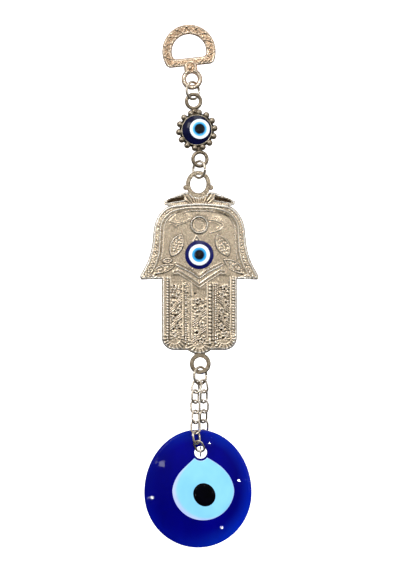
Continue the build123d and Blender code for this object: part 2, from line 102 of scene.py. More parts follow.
class Finish:
    """A material under construction: a surface shader and short ways to add nodes."""

    def __init__(self, name, **surface):
        self.material = bpy.data.materials.new(name)
        self.material.use_nodes = True
        self.tree = self.material.node_tree
        self.shader = self.tree.nodes["Principled BSDF"]
        for key, value in surface.items():
            self.shader.inputs[key.replace("_", " ")].default_value = value
        self.place = self.add("ShaderNodeTexCoord", {}, "Object")

    def add(self, kind, feeds, out=0, **settings):
        return wired(self.tree, kind, feeds, out, **settings)

    def noise(self, scale, detail=3.0, roughness=0.6, stretch=None):
        """Cloudy noise with so many patches to the metre."""
        place = self.place
        if stretch:
            place = self.add("ShaderNodeMapping", {"Vector": place, "Scale": stretch})
        feeds = {"Vector": place, "Scale": scale, "Detail": detail, "Roughness": roughness}
        return self.add("ShaderNodeTexNoise", feeds, "Fac")

    def attribute(self, name):
        return self.add("ShaderNodeAttribute", {}, "Fac", attribute_name=name)

    def ramp(self, source, *stops):
        return colour_ramp(self.tree, source, stops)

    def clouded(self, cloud, low, high):
        return self.ramp(cloud, (0.3, low), (0.7, high))

    def spread(self, source, low, high, to_low=0.0, to_high=1.0):
        feeds = {"Value": source, "From Min": low, "From Max": high, "To Min": to_low, "To Max": to_high}
        return self.add("ShaderNodeMapRange", feeds, "Result")

    def blend(self, share, first, second, how="MIX"):
        feeds = {0: share, 6: first, 7: second}
        return self.add("ShaderNodeMix", feeds, 2, data_type="RGBA", blend_type=how)

    def away_from(self, point):
        """Distance in metres from a point given in millimetres."""
        feeds = {0: self.place, 1: [c * MM for c in point]}
        return self.add("ShaderNodeVectorMath", feeds, "Value", operation="DISTANCE")

    def done(self, colour, grain=None, depth=0.0, strength=0.0, gloss=None):
        """The material, with its colour, its gloss and a bump as deep as its grain."""
        bump = None
        if grain:
            bump = self.add("ShaderNodeBump", {"Height": grain, "Strength": strength, "Distance": depth * MM})
        for source, socket in ((colour, "Base Color"), (gloss, "Roughness"), (bump, "Normal")):
            if source:
                self.tree.links.new(source, self.shader.inputs[socket])
        return self.material


def cast_metal(name, dark, middle, light, carved, rough=(0.17, 0.34)):
    """A plated casting: dark stain in the hollows, rubbed bright on the ridges, with fine pitting."""
    finish = Finish(name, Metallic=1.0)
    cloud = finish.noise(260, 4, 0.65)
    stain = finish.attribute("patina") if carved else cloud
    places = (0.0, 0.34, 0.66, 1.0) if carved else (0.25, 0.42, 0.68, 0.9)
    body = finish.ramp(stain, *zip(places, (dark, middle, middle, light)))
    tint = finish.clouded(cloud, (0.82, 0.80, 0.78, 1), (1.0, 1.0, 1.0, 1))
    gloss = finish.spread(finish.noise(900, 5), 0.3, 0.7, *rough)
    return finish.done(finish.blend(1.0, body, tint, "MULTIPLY"), finish.noise(2600, 4, 0.7), 0.06, 0.22, gloss)


def bent_wire_metal(name, dark, middle, light):
    """Drawn nickel wire, bright, with darker and lighter patches at random."""
    finish = Finish(name, Metallic=1.0)
    body = finish.ramp(finish.noise(420, 4, 0.6), (0.3, dark), (0.5, middle), (0.7, light))
    gloss = finish.spread(finish.noise(1500, 4), 0.3, 0.7, 0.16, 0.30)
    return finish.done(body, finish.noise(3000, 3, 0.6), 0.03, 0.15, gloss)


def resin(name, deeper, colour):
    """Clear coated resin of one colour with faint clouds in it."""
    finish = Finish(name, Specular_IOR_Level=0.22, Roughness=0.09)
    return finish.done(finish.clouded(finish.noise(500), deeper, colour), finish.noise(700, 2), 0.02, 0.08)


def ring_resin(name, centre, inner, outer, *colours):
    """Resin that changes colour from the inner edge of a ring to its outer one."""
    finish = Finish(name, Specular_IOR_Level=0.22, Roughness=0.09)
    reach = finish.spread(finish.away_from(centre), inner * MM, outer * MM)
    return finish.done(finish.ramp(reach, *zip((0.0, 0.45, 1.0), colours)), finish.noise(700, 2), 0.02, 0.08)


def fused_glass(name, rough, mirror, cloud, body, border=None, attribute=None, wave=(260, 0.08, 0.08)):
    """Glass with swirls of two near colours, two others where an attribute marks its border (painted light at the
    cobalt glass's rim, a milky edge on the sky glass), and a soft wave.
    """
    finish = Finish(name, Roughness=rough, Specular_IOR_Level=mirror)
    swirl = finish.noise(*cloud)
    colour = finish.clouded(swirl, *shades(*body))
    if border:
        colour = finish.blend(finish.attribute(attribute), colour, finish.clouded(swirl, *shades(*border)))
    scale, depth, strength = wave
    return finish.done(colour, finish.noise(scale, 3, 0.5), depth, strength)


def cobalt_glass():
    """Deep blue glass with painted light at its rim: lighter where light would gather in its edge, most towards the
    upper right and lower right.
    """
    return fused_glass(
        "cobalt_glass", 0.03, 0.07, (55, 3, 0.5, (1.0, 1.0, 0.45)), ((0, 0, 88), (0, 0, 124)),
        ((0, 14, 172), (2, 52, 164)), "painted_rim_light", (240, 0.12, 0.10),
    )


def sky_glass():
    """Pale blue glass with a milky lavender border where it laps over the cobalt."""
    return fused_glass(
        "sky_glass", 0.06, 0.08, (120, 3, 0.5), ((130, 204, 242), (140, 213, 249)),
        ((168, 190, 248), (198, 212, 253)), "milk",
    )


def navy_glass():
    """The pupil's near black glass."""
    return fused_glass("navy_glass", 0.06, 0.05, (300,), ((1, 1, 3), (2, 2, 9)))


def glue_resin():
    finish = Finish("clear_glue", Roughness=0.35)
    return finish.done(finish.clouded(finish.noise(900), *shades((190, 182, 160), (214, 208, 190))))


CHAMPAGNE = shades((68, 54, 38), (220, 202, 176), (252, 248, 240))
CHAMPAGNE_PLAIN = shades((136, 122, 102), (194, 178, 154), (244, 238, 224))
ROSE_GOLD = shades((92, 68, 46), (202, 171, 140), (252, 234, 210))
# A light gold for the niche ball: a painted highlight in its colour
PAINTED_HIGHLIGHT_GOLD = shades((222, 200, 172), (246, 228, 204), (255, 246, 230))
PEWTER = shades((40, 32, 24), (152, 138, 118), (214, 204, 184))
NICKEL = shades((120, 108, 90), (204, 192, 174), (246, 238, 226))
champagne_carved = cast_metal("champagne_carved", *CHAMPAGNE, carved=True)
champagne_plain = cast_metal("champagne_plain", *CHAMPAGNE_PLAIN, carved=False)
rose_gold_carved = cast_metal("rose_gold_carved", *ROSE_GOLD, carved=True)
rose_gold_plain = cast_metal("rose_gold_plain", *shades((168, 138, 108)), *ROSE_GOLD[1:], carved=False)
painted_highlight_gold = cast_metal("painted_highlight_gold", *PAINTED_HIGHLIGHT_GOLD, carved=False)
pewter_cast = cast_metal("pewter_cast", *PEWTER, carved=True, rough=(0.20, 0.36))
wire_metal = bent_wire_metal("nickel_wire", *NICKEL)


# ---------------------------------------------------------------- curves and forms on a grid

def arc_through(a, b, c, steps=14):
    """Points on the arc from a through b to c."""
    (ax, ay), (bx, by), (cx, cy) = a, b, c
    aa, bb, cc = ax**2 + ay**2, bx**2 + by**2, cx**2 + cy**2
    d = 2 * (ax * (by - cy) + bx * (cy - ay) + cx * (ay - by))
    ux = (aa * (by - cy) + bb * (cy - ay) + cc * (ay - by)) / d
    uy = (aa * (cx - bx) + bb * (ax - cx) + cc * (bx - ax)) / d
    r = math.hypot(ax - ux, ay - uy)
    start, middle, end = (math.atan2(y - uy, x - ux) for x, y in (a, b, c))
    turn = (end - start) % TURN
    if (middle - start) % TURN > turn:
        turn -= TURN
    angles = [start + turn * i / steps for i in range(steps + 1)]
    return [(ux + r * math.cos(t), uy + r * math.sin(t)) for t in angles]


def eased(points, each=6):
    """A smooth run through points, with so many short pieces between each pair."""
    whole = [Vector(p) for p in (points[0], *points, points[-1])]
    run = []
    for p0, p1, p2, p3 in zip(whole, whole[1:], whole[2:], whole[3:]):
        bend, twist = 2 * p0 - 5 * p1 + 4 * p2 - p3, 3 * p1 - p0 - 3 * p2 + p3
        shares = [k / each for k in range(each)]
        run += [0.5 * (2 * p1 + (p2 - p0) * t + bend * t**2 + twist * t**3) for t in shares]
    return run + [whole[-1]]


def mirrored(points):
    """A half outline on the right, from the top down, made whole from the left tip round to the right one."""
    return [(-x, y) for x, y in reversed(points)] + points


def along(u, v, points):
    """Distance from a run of straight pieces and how far along it the nearest point lies."""
    best, travelled, run = np.full(u.shape, 1e9), np.zeros(u.shape), 0.0
    for (x0, y0), (x1, y1) in zip(points, points[1:]):
        dx, dy = x1 - x0, y1 - y0
        length = math.hypot(dx, dy)
        if length < 1e-9:
            continue
        t = np.clip(((u - x0) * dx + (v - y0) * dy) / length**2, 0, 1)
        d = np.hypot(u - x0 - t * dx, v - y0 - t * dy)
        nearer = d < best
        best = np.where(nearer, d, best)
        travelled = np.where(nearer, run + t * length, travelled)
        run += length
    return best, travelled


def inside(u, v, loop):
    """True where a point lies in a closed loop."""
    found = np.zeros(u.shape, bool)
    for (x0, y0), (x1, y1) in zip(loop, loop[1:] + loop[:1]):
        if y0 != y1:
            found ^= ((y0 > v) != (y1 > v)) & (u < (x1 - x0) * (v - y0) / (y1 - y0) + x0)
    return found


def depth_in(u, v, loop):
    """Distance into a closed loop, negative outside it."""
    d, _ = along(u, v, loop + loop[:1])
    return np.where(inside(u, v, loop), d, -d)


def ridge(distance, half_width, height):
    """A round ridge beside a line."""
    return height * np.sqrt(np.clip(1 - (distance / half_width) ** 2, 0, 1))


def stroke(u, v, half_width, height, *points):
    """A round ridge along a run of straight pieces."""
    return ridge(along(u, v, points)[0], half_width, height)


def step(x, low, high):
    """0 below low, 1 above high and smooth between."""
    t = np.clip((x - low) / (high - low), 0, 1)
    return t * t * (3 - 2 * t)


def flutes(run, pitch, half_width, height):
    """Even round ridges across a run, as wide as that share of their pitch."""
    return ridge(run / pitch % 1 - 0.5, half_width, height)


def balls(travelled, across, pitch, radius, height):
    """Granules set along a line at an even pitch."""
    return ridge(np.hypot((travelled / pitch) % 1 * pitch - pitch / 2, across), radius, height)


def leaf(u, v, tip, root, half_width):
    """Distance into a pointed leaf between two tips, and from its middle line."""
    (tx, ty), (rx, ry) = tip, root
    length = math.hypot(tx - rx, ty - ry) / 2
    dx, dy = (tx - rx) / 2 / length, (ty - ry) / 2 / length
    x, y = u - (tx + rx) / 2, v - (ty + ry) / 2
    side = np.abs(y * dx - x * dy)
    r = (length**2 + half_width**2) / (2 * half_width)
    return r - np.hypot(x * dx + y * dy, side + r - half_width), side


def scatter(u, v, zone, pitch, radius, height, seed):
    """Granules strewn over a zone, a little out of line and of unlike sizes."""
    dice = np.random.RandomState(seed)
    iu, iv = np.floor(u / pitch).astype(int), np.floor(v / pitch).astype(int)
    table = dice.rand(64, 64, 4)
    total = np.zeros(u.shape)
    for du in (-1, 0, 1):
        for dv in (-1, 0, 1):
            cell = table[(iu + du) % 64, (iv + dv) % 64]
            x = (iu + du + 0.2 + 0.6 * cell[..., 0]) * pitch
            y = (iv + dv + 0.2 + 0.6 * cell[..., 1]) * pitch
            grain = ridge(np.hypot(u - x, v - y), radius * (0.6 + 0.6 * cell[..., 2]), height)
            total = np.maximum(total, grain * (0.5 + 0.7 * cell[..., 3]))
    return total * zone


def softened(field, cells, times=2):
    """A field blurred over so many cells."""
    for _ in range(times):
        for _ in range(2):
            total = np.cumsum(np.pad(field, ((cells, cells), (0, 0)), "edge"), 0)
            behind = np.pad(total[:-2 * cells - 1], ((1, 0), (0, 0)))
            field = ((total[2 * cells:] - behind) / (2 * cells + 1)).T
    return field


# ---------------------------------------------------------------- meshes and pieces

def as_mesh(name, form):
    """A finished form as a mesh."""
    mesh = bpy.data.meshes.new(name)
    form.to_mesh(mesh)
    form.free()
    return mesh


def mesh_of(name, points, faces, attribute, values):
    """Points in millimetres and faces as a mesh that faces outwards, with a number kept at each point."""
    mesh = bpy.data.meshes.new(name)
    mesh.from_pydata([[c * MM for c in p] for p in points], [], faces)
    mesh.attributes.new(attribute, "FLOAT", "POINT").data.foreach_set("value", values)
    form = bmesh.new()
    form.from_mesh(mesh)
    bmesh.ops.remove_doubles(form, verts=form.verts, dist=2e-6)
    bmesh.ops.recalc_face_normals(form, faces=form.faces)
    bpy.data.meshes.remove(mesh)
    return as_mesh(name, form)


def place(name, mesh, body, slot, material=None, stands_for=None):
    """A finished mesh as a piece that rides on a body and may stand for a node of the frame."""
    piece = bpy.data.objects.new(name, mesh)
    bpy.context.scene.collection.objects.link(piece)
    mesh.validate()
    if material:
        mesh.materials.clear()
        mesh.materials.append(material)
    mesh.polygons.foreach_set("use_smooth", [True] * len(mesh.polygons))
    mesh.update()
    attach(piece, body)
    if stands_for:
        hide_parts(stands_for)


# Where the rays that feel for a solid start in front of it, and how far in metres they reach
RAY_START, RAY_REACH = -20, 0.05
# Depth of the ground where a relief makes its own panels, and of what the stain takes to lie beside it
PANEL_GROUND, GROUND_BESIDE = -1.2, 0.5


def relief(name, node, body, slot, material, origin, lean, area, pitch, outline, pattern, back, stain, lift,
           ink=None, filled=None):
    """A carved skin on the front of a solid, closed behind inside it.

    At a point across and up from the origin, outline says how deep it lies in the skin, pattern how high the
    carving stands, ink how much darker it is stained and filled where the skin makes its own ground.
    """
    left, right, low, high = area
    columns, rows = int((right - left) / pitch) + 1, int((high - low) / pitch) + 1
    u, v = np.meshgrid(left + np.arange(columns) * pitch, low + np.arange(rows) * pitch)
    depth = outline(u, v)
    slope_v, slope_u = np.gradient(depth, pitch)
    norm = np.maximum(np.hypot(slope_u, slope_v), 1e-6)
    keep = depth > 0
    cells = keep[:-1, :-1] | keep[1:, :-1] | keep[:-1, 1:] | keep[1:, 1:]
    used = np.zeros(depth.shape, bool)
    for corner in (np.s_[:-1, :-1], np.s_[1:, :-1], np.s_[:-1, 1:], np.s_[1:, 1:]):
        used[corner] |= cells
    outer = used & ~keep
    pull = np.where(outer, -depth, 0)
    u, v = u + pull * slope_u / norm, v + pull * slope_v / norm
    x = origin.x + u * math.cos(lean) - v * math.sin(lean)
    z = origin.z + u * math.sin(lean) + v * math.cos(lean)
    solid = frame["nodes"][node].data
    tree = BVHTree.FromPolygons([w.co for w in solid.vertices], [p.vertices[:] for p in solid.polygons])
    base = np.full(depth.shape, back)
    for j, i in np.argwhere(used):
        hit = tree.ray_cast(Vector((x[j, i], RAY_START, z[j, i])) * MM, Vector((0, 1, 0)), RAY_REACH)[0]
        base[j, i] = min(hit.y / MM, back) if hit is not None else back
    if filled:
        base = np.where(filled(u, v), PANEL_GROUND, base)
    carving = base - (pattern(u, v) + lift)
    front = np.where(outer, back, carving)
    around = softened(np.where(keep, carving, GROUND_BESIDE), max(2, int(0.5 / pitch)))
    share, gain = stain
    patina = share + gain * np.where(outer, 0.0, around - front) - (ink(u, v) if ink else 0)
    order = np.full(depth.shape, -1)
    order[used] = np.arange(used.sum())
    form = bmesh.new()
    stain_layer = form.verts.layers.float.new("patina")
    corners = []
    points = np.stack([x[used], front[used], z[used]], 1) * MM
    for point, value in zip(points.tolist(), np.clip(patina, 0, 1)[used].tolist()):
        corners.append(form.verts.new(point))
        corners[-1][stain_layer] = value
    for j, i in np.argwhere(cells):
        square = order[j, i], order[j, i + 1], order[j + 1, i + 1], order[j + 1, i]
        form.faces.new([corners[k] for k in square])
    rim_edges = [edge for edge in form.edges if edge.is_boundary]
    bmesh.ops.triangle_fill(form, use_beauty=True, edges=rim_edges, normal=(0, 1, 0))
    bmesh.ops.recalc_face_normals(form, faces=form.faces)
    place(name, as_mesh(name, form), body, slot, material)


# ---------------------------------------------------------------- hand, seen from the middle of the palm's top

HALF, TALL, FIELD_HALF = 25.0, 63.5, 16.0
SHOULDER = ((0.28, 0.005), (0.528, 0.024), (0.676, 0.077), (0.756, 0.153), (0.778, 0.224), (0.798, 0.291))
THUMB = ((0.862, 0.381), (0.996, 0.484), (0.984, 0.508))
FIELD = (
    (0.344, 0.041), (0.656, 0.057), (0.90, 0.105), (1.0, 0.186), (1.019, 0.280), (1.08, 0.378), (1.256, 0.468),
)
THUMB_UNDER = -0.503 * TALL
FINGERS_WIDE, FINGERS_LONG, FINGER_CORNER, FINGER_CORNER_CUT = 15.8, 61.8, 5.4, 1.58
NOTCH = ((4.5, -61.85), (2.4, -63.1), (0.0, -TALL))
BEVEL = 0.34
EYE_DROP = 21.8


def palm_outline():
    half = [(0.0, 0.0)] + [(x * HALF, -y * TALL) for x, y in SHOULDER + THUMB[:2]]
    whole = [tuple(p) for p in eased([(-x, y) for x, y in half[:0:-1]] + half, 8)]
    return whole[len(whole) // 2:] + [(THUMB[2][0] * HALF, -THUMB[2][1] * TALL)]


def field_outline():
    f = [(x * FIELD_HALF, -y * TALL) for x, y in FIELD]
    upper = arc_through((0, -2.4), *f[:2]) + arc_through(*f[1:4])
    return upper + [f[4]] + arc_through(*f[4:])


def fingers_outline():
    side_end = (FINGERS_WIDE, FINGER_CORNER - FINGERS_LONG)
    corner = (FINGERS_WIDE - FINGER_CORNER_CUT, FINGER_CORNER_CUT - FINGERS_LONG)
    corner_end = (FINGERS_WIDE - FINGER_CORNER, -FINGERS_LONG)
    run = [(FINGERS_WIDE, THUMB_UNDER), side_end] + arc_through(side_end, corner, corner_end)
    return run + [(4.55, -FINGERS_LONG)] + arc_through(*NOTCH)


palm_half = palm_outline()
field_half = field_outline()
hand_loop = mirrored(palm_half + fingers_outline())[:-1]


def hand_depth(u, v):
    """Distance into the hand's outline, less the bevel round it."""
    return depth_in(u, v, hand_loop) - BEVEL


def bands_of_palm(u, v):
    """The rims round the palm: a plain rim, a rope of granules and a thin line beside the field."""
    side = np.abs(u)
    out, _ = along(side, v, palm_half)
    edge, run = along(side, v, field_half)
    sides = step(side, 8.5, 12.5)
    beside = ~inside(side, v, [(0, -2.4)] + field_half + [(0, -40)])
    rope = beside * step(out, 1.4, 1.7) * step(edge, 0.75, 1.05) * sides
    total = ridge(out - 0.75, 0.7, 0.22) + scatter(u, v, rope, 0.95, 0.55, 0.34, 3)
    total += rope * ridge(((run + 0.9 * edge) % 1.15) - 0.57, 0.4, 0.16)
    total += beside * step(out, 0.2, 0.6) * (1 - sides) * 0.20
    total += ridge(edge - 0.38, 0.26, 0.30) * beside * (v > -30.5)
    total += (ridge(edge - 0.95, 0.24, 0.26) * (v > -24) - ridge(edge - 0.3, 0.35, 0.16)) * ~beside
    return total * (v > THUMB_UNDER - 0.5)


# Half width, height and points of the fine lines: left feather, right fin, tick above, triangle over the eye
FINE_LINES = (
    (0.22, 0.26, (-12.5, -7.7), (-9.6, -8.7), (-6.4, -7.8), (-3.7, -6.7)),
    (0.22, 0.26, (-12.5, -7.6), (-9.9, -5.0), (-5.5, -3.9)),
    (0.22, 0.26, (-9.4, -9.4), (-6.4, -8.4), (-4.3, -7.5)),
    (0.20, 0.22, (-12.2, -8.7), (-10.6, -9.3), (-9.4, -10.4)),
    (0.22, 0.26, (4.1, -7.0), (7.0, -7.4), (9.6, -8.6), (10.2, -9.8), (8.8, -11.2), (6.8, -12.0), (4.6, -12.5)),
    (0.18, 0.18, (4.6, -8.0), (7.0, -8.4), (8.7, -9.4), (7.4, -10.8)),
    (0.18, 0.20, (-1.1, -2.6), (-1.1, -4.9)),
    (0.26, 0.30, (-2.6, -16.2), (-1.8, -15.0), (-1.1, -13.6), (-0.3, -15.0), (0.5, -16.2)),
)
COMB = [(-12.5, -7.6), (-9.9, -5.0), (-5.5, -3.9), (-3.2, -5.6), (-3.6, -6.9), (-9.6, -8.7)]
FIN = [(5.4, -5.2), (9.2, -5.6), (10.4, -8.2), (8.8, -8.0), (5.0, -7.0)]


def medal_and_feathers(u, v):
    """A medal between a combed feather and a fluted fin, with fine lines round them."""
    r = np.hypot(u, v + 9.3)
    total = ridge(r - 3.5, 0.30, 0.26) + ridge(r - 2.55, 0.24, 0.26) - ridge(r - 4.15, 0.25, 0.10)
    total += step(depth_in(u, v, COMB), 0.0, 0.3) * flutes(u * 0.95 + v * 0.31, 0.66, 0.36, 0.24)
    total += step(depth_in(u, v, FIN), 0.0, 0.3) * flutes(u * 0.92 - v * 0.40, 0.72, 0.36, 0.26)
    return total + sum(stroke(u, v, *line) for line in FINE_LINES) + ridge(np.hypot(u + 1.1, v + 15.6), 0.45, 0.3)


# Tip, root, half width and seed of each leaf
LEAVES = (
    ((-7.4, -13.0), (-11.7, -22.6), 2.7, 11),
    ((7.4, -13.2), (12.2, -22.4), 2.7, 12),
    ((-9.9, -26.0), (-20.2, -29.3), 1.7, 13),
    ((10.2, -23.6), (19.2, -29.6), 2.1, 14),
    ((-11.2, -24.0), (-15.6, -24.6), 1.2, 15),
)


def leaves(u, v):
    total = np.zeros(u.shape)
    for *shape, seed in LEAVES:
        depth, side = leaf(u, v, *shape)
        total += ridge(depth - 0.28, 0.28, 0.34) + ridge(side, 0.16, 0.20) * step(depth, 0.5, 0.9)
        total += scatter(u, v, step(depth, 0.45, 0.7), 1.15, 0.5, 0.34, seed)
        total -= scatter(u, v, step(depth, 0.6, 0.9), 2.1, 0.42, 0.42, seed + 40)
    return total


BAND_TOP = [(0, -31.0), (3.2, -28.7), (9.6, -25.5)]
BAND_END = [(9.6, -25.5), (11.4, -26.6), (15.0, -29.2)]
BAND_LOW = [(0, -34.8), (3.4, -32.3), (8.9, -28.8), (10.4, -29.2)]
BAND = [(-0.1, -31.0), (3.2, -28.7), (9.6, -25.5), (9.8, -28.9), (8.9, -28.9), (3.4, -32.3), (-0.1, -34.8)]


def chevrons(u, v):
    """The plain stepped band under the palm, one line above it and one below, each running out to the thumbs."""
    side = np.abs(u)
    upper, outer, lower = (along(side, v, run)[0] for run in (BAND_TOP, BAND_END, BAND_LOW))
    total = ridge(upper - 0.5, 0.34, 0.22) * (v < -25) - ridge(upper, 0.32, 0.34) - ridge(outer, 0.26, 0.26)
    total += ridge(lower - 0.6, 0.26, 0.20) - ridge(lower, 0.30, 0.30)
    return total + step(depth_in(side, v, BAND), 0.1, 0.6) * 0.16


# Columns of beads: place across, pitch and radius. Lines: place across and half width
BEAD_COLUMNS = ((-13.3, 1.15, 0.52), (-5.7, 1.0, 0.42), (4.5, 1.5, 0.72), (6.9, 0.95, 0.42), (14.3, 1.2, 0.52))
FINGER_LINES = (
    (-15.2, 0.3), (-12.2, 0.24), (-7.2, 0.24), (-3.4, 0.26), (3.2, 0.22), (5.75, 0.22), (7.8, 0.24), (12.9, 0.24),
    (15.3, 0.3), (-6.6, 0.2),
)
# Granules between the fingers: from, to, pitch and seed. Fluted ends: middle and reach
GAPS = ((-6.6, -4.4, 0.85, 21), (5.9, 7.7, 0.9, 22))
FLUTED_ENDS = ((-10.4, -56.4, 3.4), (0.0, -58.6, 3.0), (10.6, -56.4, 3.4))


def fingers(u, v):
    """Three fingers: bead columns and lines between panels of scrolls and granules, with fluted ends."""
    zone = np.maximum(step(-v, 33.0, 34.2), step(-v, 30.5, 31.5) * step(np.abs(u), 10.2, 10.8))
    total = np.zeros(u.shape)
    for x, pitch, size in BEAD_COLUMNS:
        total += balls(v + 100, u - x, pitch, size, 0.42) * step(61.0 + v - 1.4, 0, 0.5)
    for x, width in FINGER_LINES:
        total += ridge(u - x, width, 0.28) * step(57.5 + v, 0, 0.5)
    for x in (-6.35, 6.15):
        total -= ridge(u - x, 0.26, 0.30) * step(-v, 36, 38)
    for left, right, pitch, seed in GAPS:
        total += scatter(u, v, (u > left) & (u < right), pitch, 0.42, 0.30, seed)
    for x, y, reach in FLUTED_ENDS:
        r = np.hypot(u - x, v - y)
        rows = step(r, reach - 0.7, reach) * step(y - v + 1.6, 0, 0.8) * step(reach + 2.0 - r, 0, 0.5)
        total += rows * flutes(np.arctan2(v - y, u - x) * reach, 1.05, 0.42, 0.34)
        total += ridge(r - reach + 0.5, 0.22, 0.26) * step(y - v + 0.8, 0, 0.6)
    return total * zone


PITS = (
    (-10.5, -34.7), (-10.5, -39.9), (-10.1, -47.4), (-10.9, -53.0), (-8.4, -52.8), (-9.0, -50.6), (-1.9, -38.2),
    (-3.6, -39.6), (0.5, -40.5), (-0.8, -42.8), (1.1, -52.1), (-0.4, -58.0), (-1.2, -54.6), (9.0, -35.6),
    (10.6, -36.2), (8.8, -50.1), (9.2, -53.4), (9.9, -56.7), (10.6, -48.4), (8.4, -47.6), (-5.9, -41.0),
    (-5.9, -43.4), (-4.1, -39.6), (-5.6, -36.0), (8.8, -13.2), (9.5, -16.4), (11.0, -19.2), (12.6, -24.6),
    (14.6, -26.9), (-9.3, -14.9), (-10.8, -18.0), (-12.6, -26.9), (-16.2, -28.6), (13.6, -53.0), (14.6, -53.4),
    (4.6, -60.3), (-6.2, -61.2),
)
# Middle, top, end and half width of each finger's panel, how its lines slant and how far down they start
PANELS = (
    (-9.75, -30.4, -57.8, 2.5, 1, (12.5, 19.5)),
    (0.0, -36.2, -59.9, 2.9, 1, (12.2, 19.0)),
    (10.3, -30.4, -57.8, 2.6, -1, (12.5, 19.5)),
)


def panel_scrolls(u, v):
    """What fills the panels: flowers of granules, double slanting lines and curls, plain at their upper ends."""
    total = np.zeros(u.shape)
    for n, (x, top, end, half, slant, drops) in enumerate(PANELS):
        room = half - np.abs(u - x)
        within = step(room, 0, 0.25) * step(v - end, 0, 0.5) * step(top - v, 3.2, 4.2)
        grain = scatter(u, v, within, 1.15, 0.58, 0.38, 30 + n)
        lines = np.zeros(u.shape)
        for y in (top - drop for drop in drops):
            for shift in (-0.9, 0.0, 0.9):
                bends = ((-half, -2.6), (-0.6, -0.9), (0.7, 1.4), (half, 2.9))
                run = [(x + slant * across, y + rise + shift) for across, rise in bends]
                lines = np.maximum(lines, stroke(u, v, 0.27, 0.44, *run))
            grain = np.where(np.abs(v - (y + slant * (u - x) * 1.05)) < 1.6, 0, grain)
        for k, y in enumerate(np.arange(top - 5.0, end + 1.4, -3.3)):
            cx = x + (0.9 if k % 2 else -0.9) * slant
            ring = np.hypot(u - cx, v - y)
            petals = 0.78 + 0.22 * np.cos(5 * np.arctan2(v - y, u - cx) + k)
            lines = np.maximum(lines, (lines < 0.05) * ridge(ring - 1.05 * petals, 0.28, 0.46))
            grain = np.where(ring < 0.7, 0, grain)
        total += np.maximum(grain, lines) * within - 0.10 * step(room, 0, 0.3) * step(v - end, 0, 0.6) * (v < top)
    return total


def pits(u, v):
    """1 in the deep pits between granules, 0 elsewhere."""
    total = np.zeros(u.shape)
    for n, (x, y) in enumerate(PITS):
        size = 0.48 + 0.14 * ((n * 7) % 5) / 4
        total = np.maximum(total, step(size - np.hypot((u - x) * (0.8 + 0.1 * (n % 4)), v - y), 0.0, 0.3))
    return total


# Points and half width of the lines of stain along the chevron and out to the thumbs
INK_LINES = (
    ([(0, -30.9), (3.2, -28.6), (9.5, -25.4)], 0.34),
    ([(0, -34.9), (3.4, -32.4), (6.0, -30.8)], 0.32),
    ([(9.5, -25.4), (13.0, -28.2), (18.6, -30.4)], 0.26),
)


def hand_ink(u, v):
    """Where the dark stain was never rubbed off: the upper groove, the chevron, the leaves' edges and the pits."""
    total = 1.3 * pits(u, v)
    groove, run = along(u, v, arc_through((-9.6, -4.4), (1.0, -2.35), (12.6, -5.6), 20))
    total += step(0.26 + 0.016 * run - groove, 0.0, 0.16) * 0.75
    for points, width in INK_LINES:
        total += step(width - along(np.abs(u), v, points)[0], 0.0, 0.16) * 0.8
    for x in (-12.7, -7.5, -6.35, 5.3, 7.9, 12.5):
        total += step(0.24 - np.abs(u - x), 0.0, 0.16) * (v < -32.5) * (v > -58) * 0.35
    for *shape, _ in LEAVES:
        total += step(0.22 - np.abs(leaf(u, v, *shape)[0] + 0.12), 0.0, 0.14) * 0.45
    return total


def plain_front(u, v):
    """Below the palm the relief makes its own panels on the plate's front."""
    return ((v < -29.9) & (np.abs(u) > 1.5)) | (v < -30.6)


def hand_pattern(u, v):
    eye_clear = step(np.hypot(u, v + EYE_DROP), 6.3, 6.9)
    total = bands_of_palm(u, v) + medal_and_feathers(u, v) + (leaves(u, v) + chevrons(u, v)) * eye_clear
    return np.clip((total + fingers(u, v) + panel_scrolls(u, v) - 0.45 * pits(u, v)) * 0.9, -0.3, 0.62)


WING = ((0.2, 1.0), (0.42, 0.93), (0.66, 0.62), (1.0, 0.12), (0.967, -0.18), (0.75, -0.36), (0.2, -0.36))
WING_REACH, WING_TALL, CREST_BEVEL = 15.2, 4.8, 0.12
TRUNK = [(-5.9, -1.3), (-5.0, 3.5), (5.0, 3.5), (5.9, -1.3)]
WING_SLOT = [(6.3, 1.3), (13.3, 0.2), (13.5, 1.3), (6.6, 2.9)]
WING_RIM = [(3.0, 4.6), (6.4, 4.4), (10.0, 2.9), (15.0, 0.5)]
WING_LOW = [(5.6, -0.4), (10.0, -0.9), (14.6, -0.6)]


def crest_depth(u, v):
    """Distance into the wings and the bail's foot, clear of the bail's bore."""
    wing = depth_in(np.abs(u), v, [(x * WING_REACH, y * WING_TALL) for x, y in WING])
    bore = (np.hypot((u + BAIL_SHIFT) / 5.25, (v - BAIL_RISE) / 5.55) - 1.03) * 5.2
    return np.minimum(np.maximum(wing, depth_in(u, v, TRUNK)) - CREST_BEVEL, bore)


def crest_ink(u, v):
    """The dark slot under each wing's upper rim."""
    return step(depth_in(np.abs(u), v, WING_SLOT), 0.0, 0.4) * 0.52


def crest_pattern(u, v):
    """Wings with a rim and a slot, small beads under them, and a fluted palmette in the middle."""
    side = np.abs(u)
    lower, run = along(side, v, WING_LOW)
    total = ridge(along(side, v, WING_RIM)[0] - 0.45, 0.4, 0.26) + balls(run, lower - 0.2, 0.95, 0.42, 0.36)
    total += ridge(depth_in(side, v, WING_SLOT) + 0.35, 0.3, 0.2)
    fan = step(5.6 - side, 0, 0.4) * step(v + 0.9, 0, 0.3)
    total += fan * flutes(np.arctan2(u, v + 3.2), 0.2, 0.42, 0.42)
    return np.clip(total, -0.1, 0.5)


# ---------------------------------------------------------------- hanger, seen from the middle of its bow

OPENING, EYE_AT = 7.2, 11.75
NICHE_AT, NICHE_RADIUS, NICHE_STRETCH = -6.6, 1.4, 0.3
ARCH = ((-1.9, -8.2), (-1.9, -6.2), (-1.2, -5.0), (0, -4.5), (1.2, -5.0), (1.9, -6.2), (1.9, -8.2))
TEETH = 15


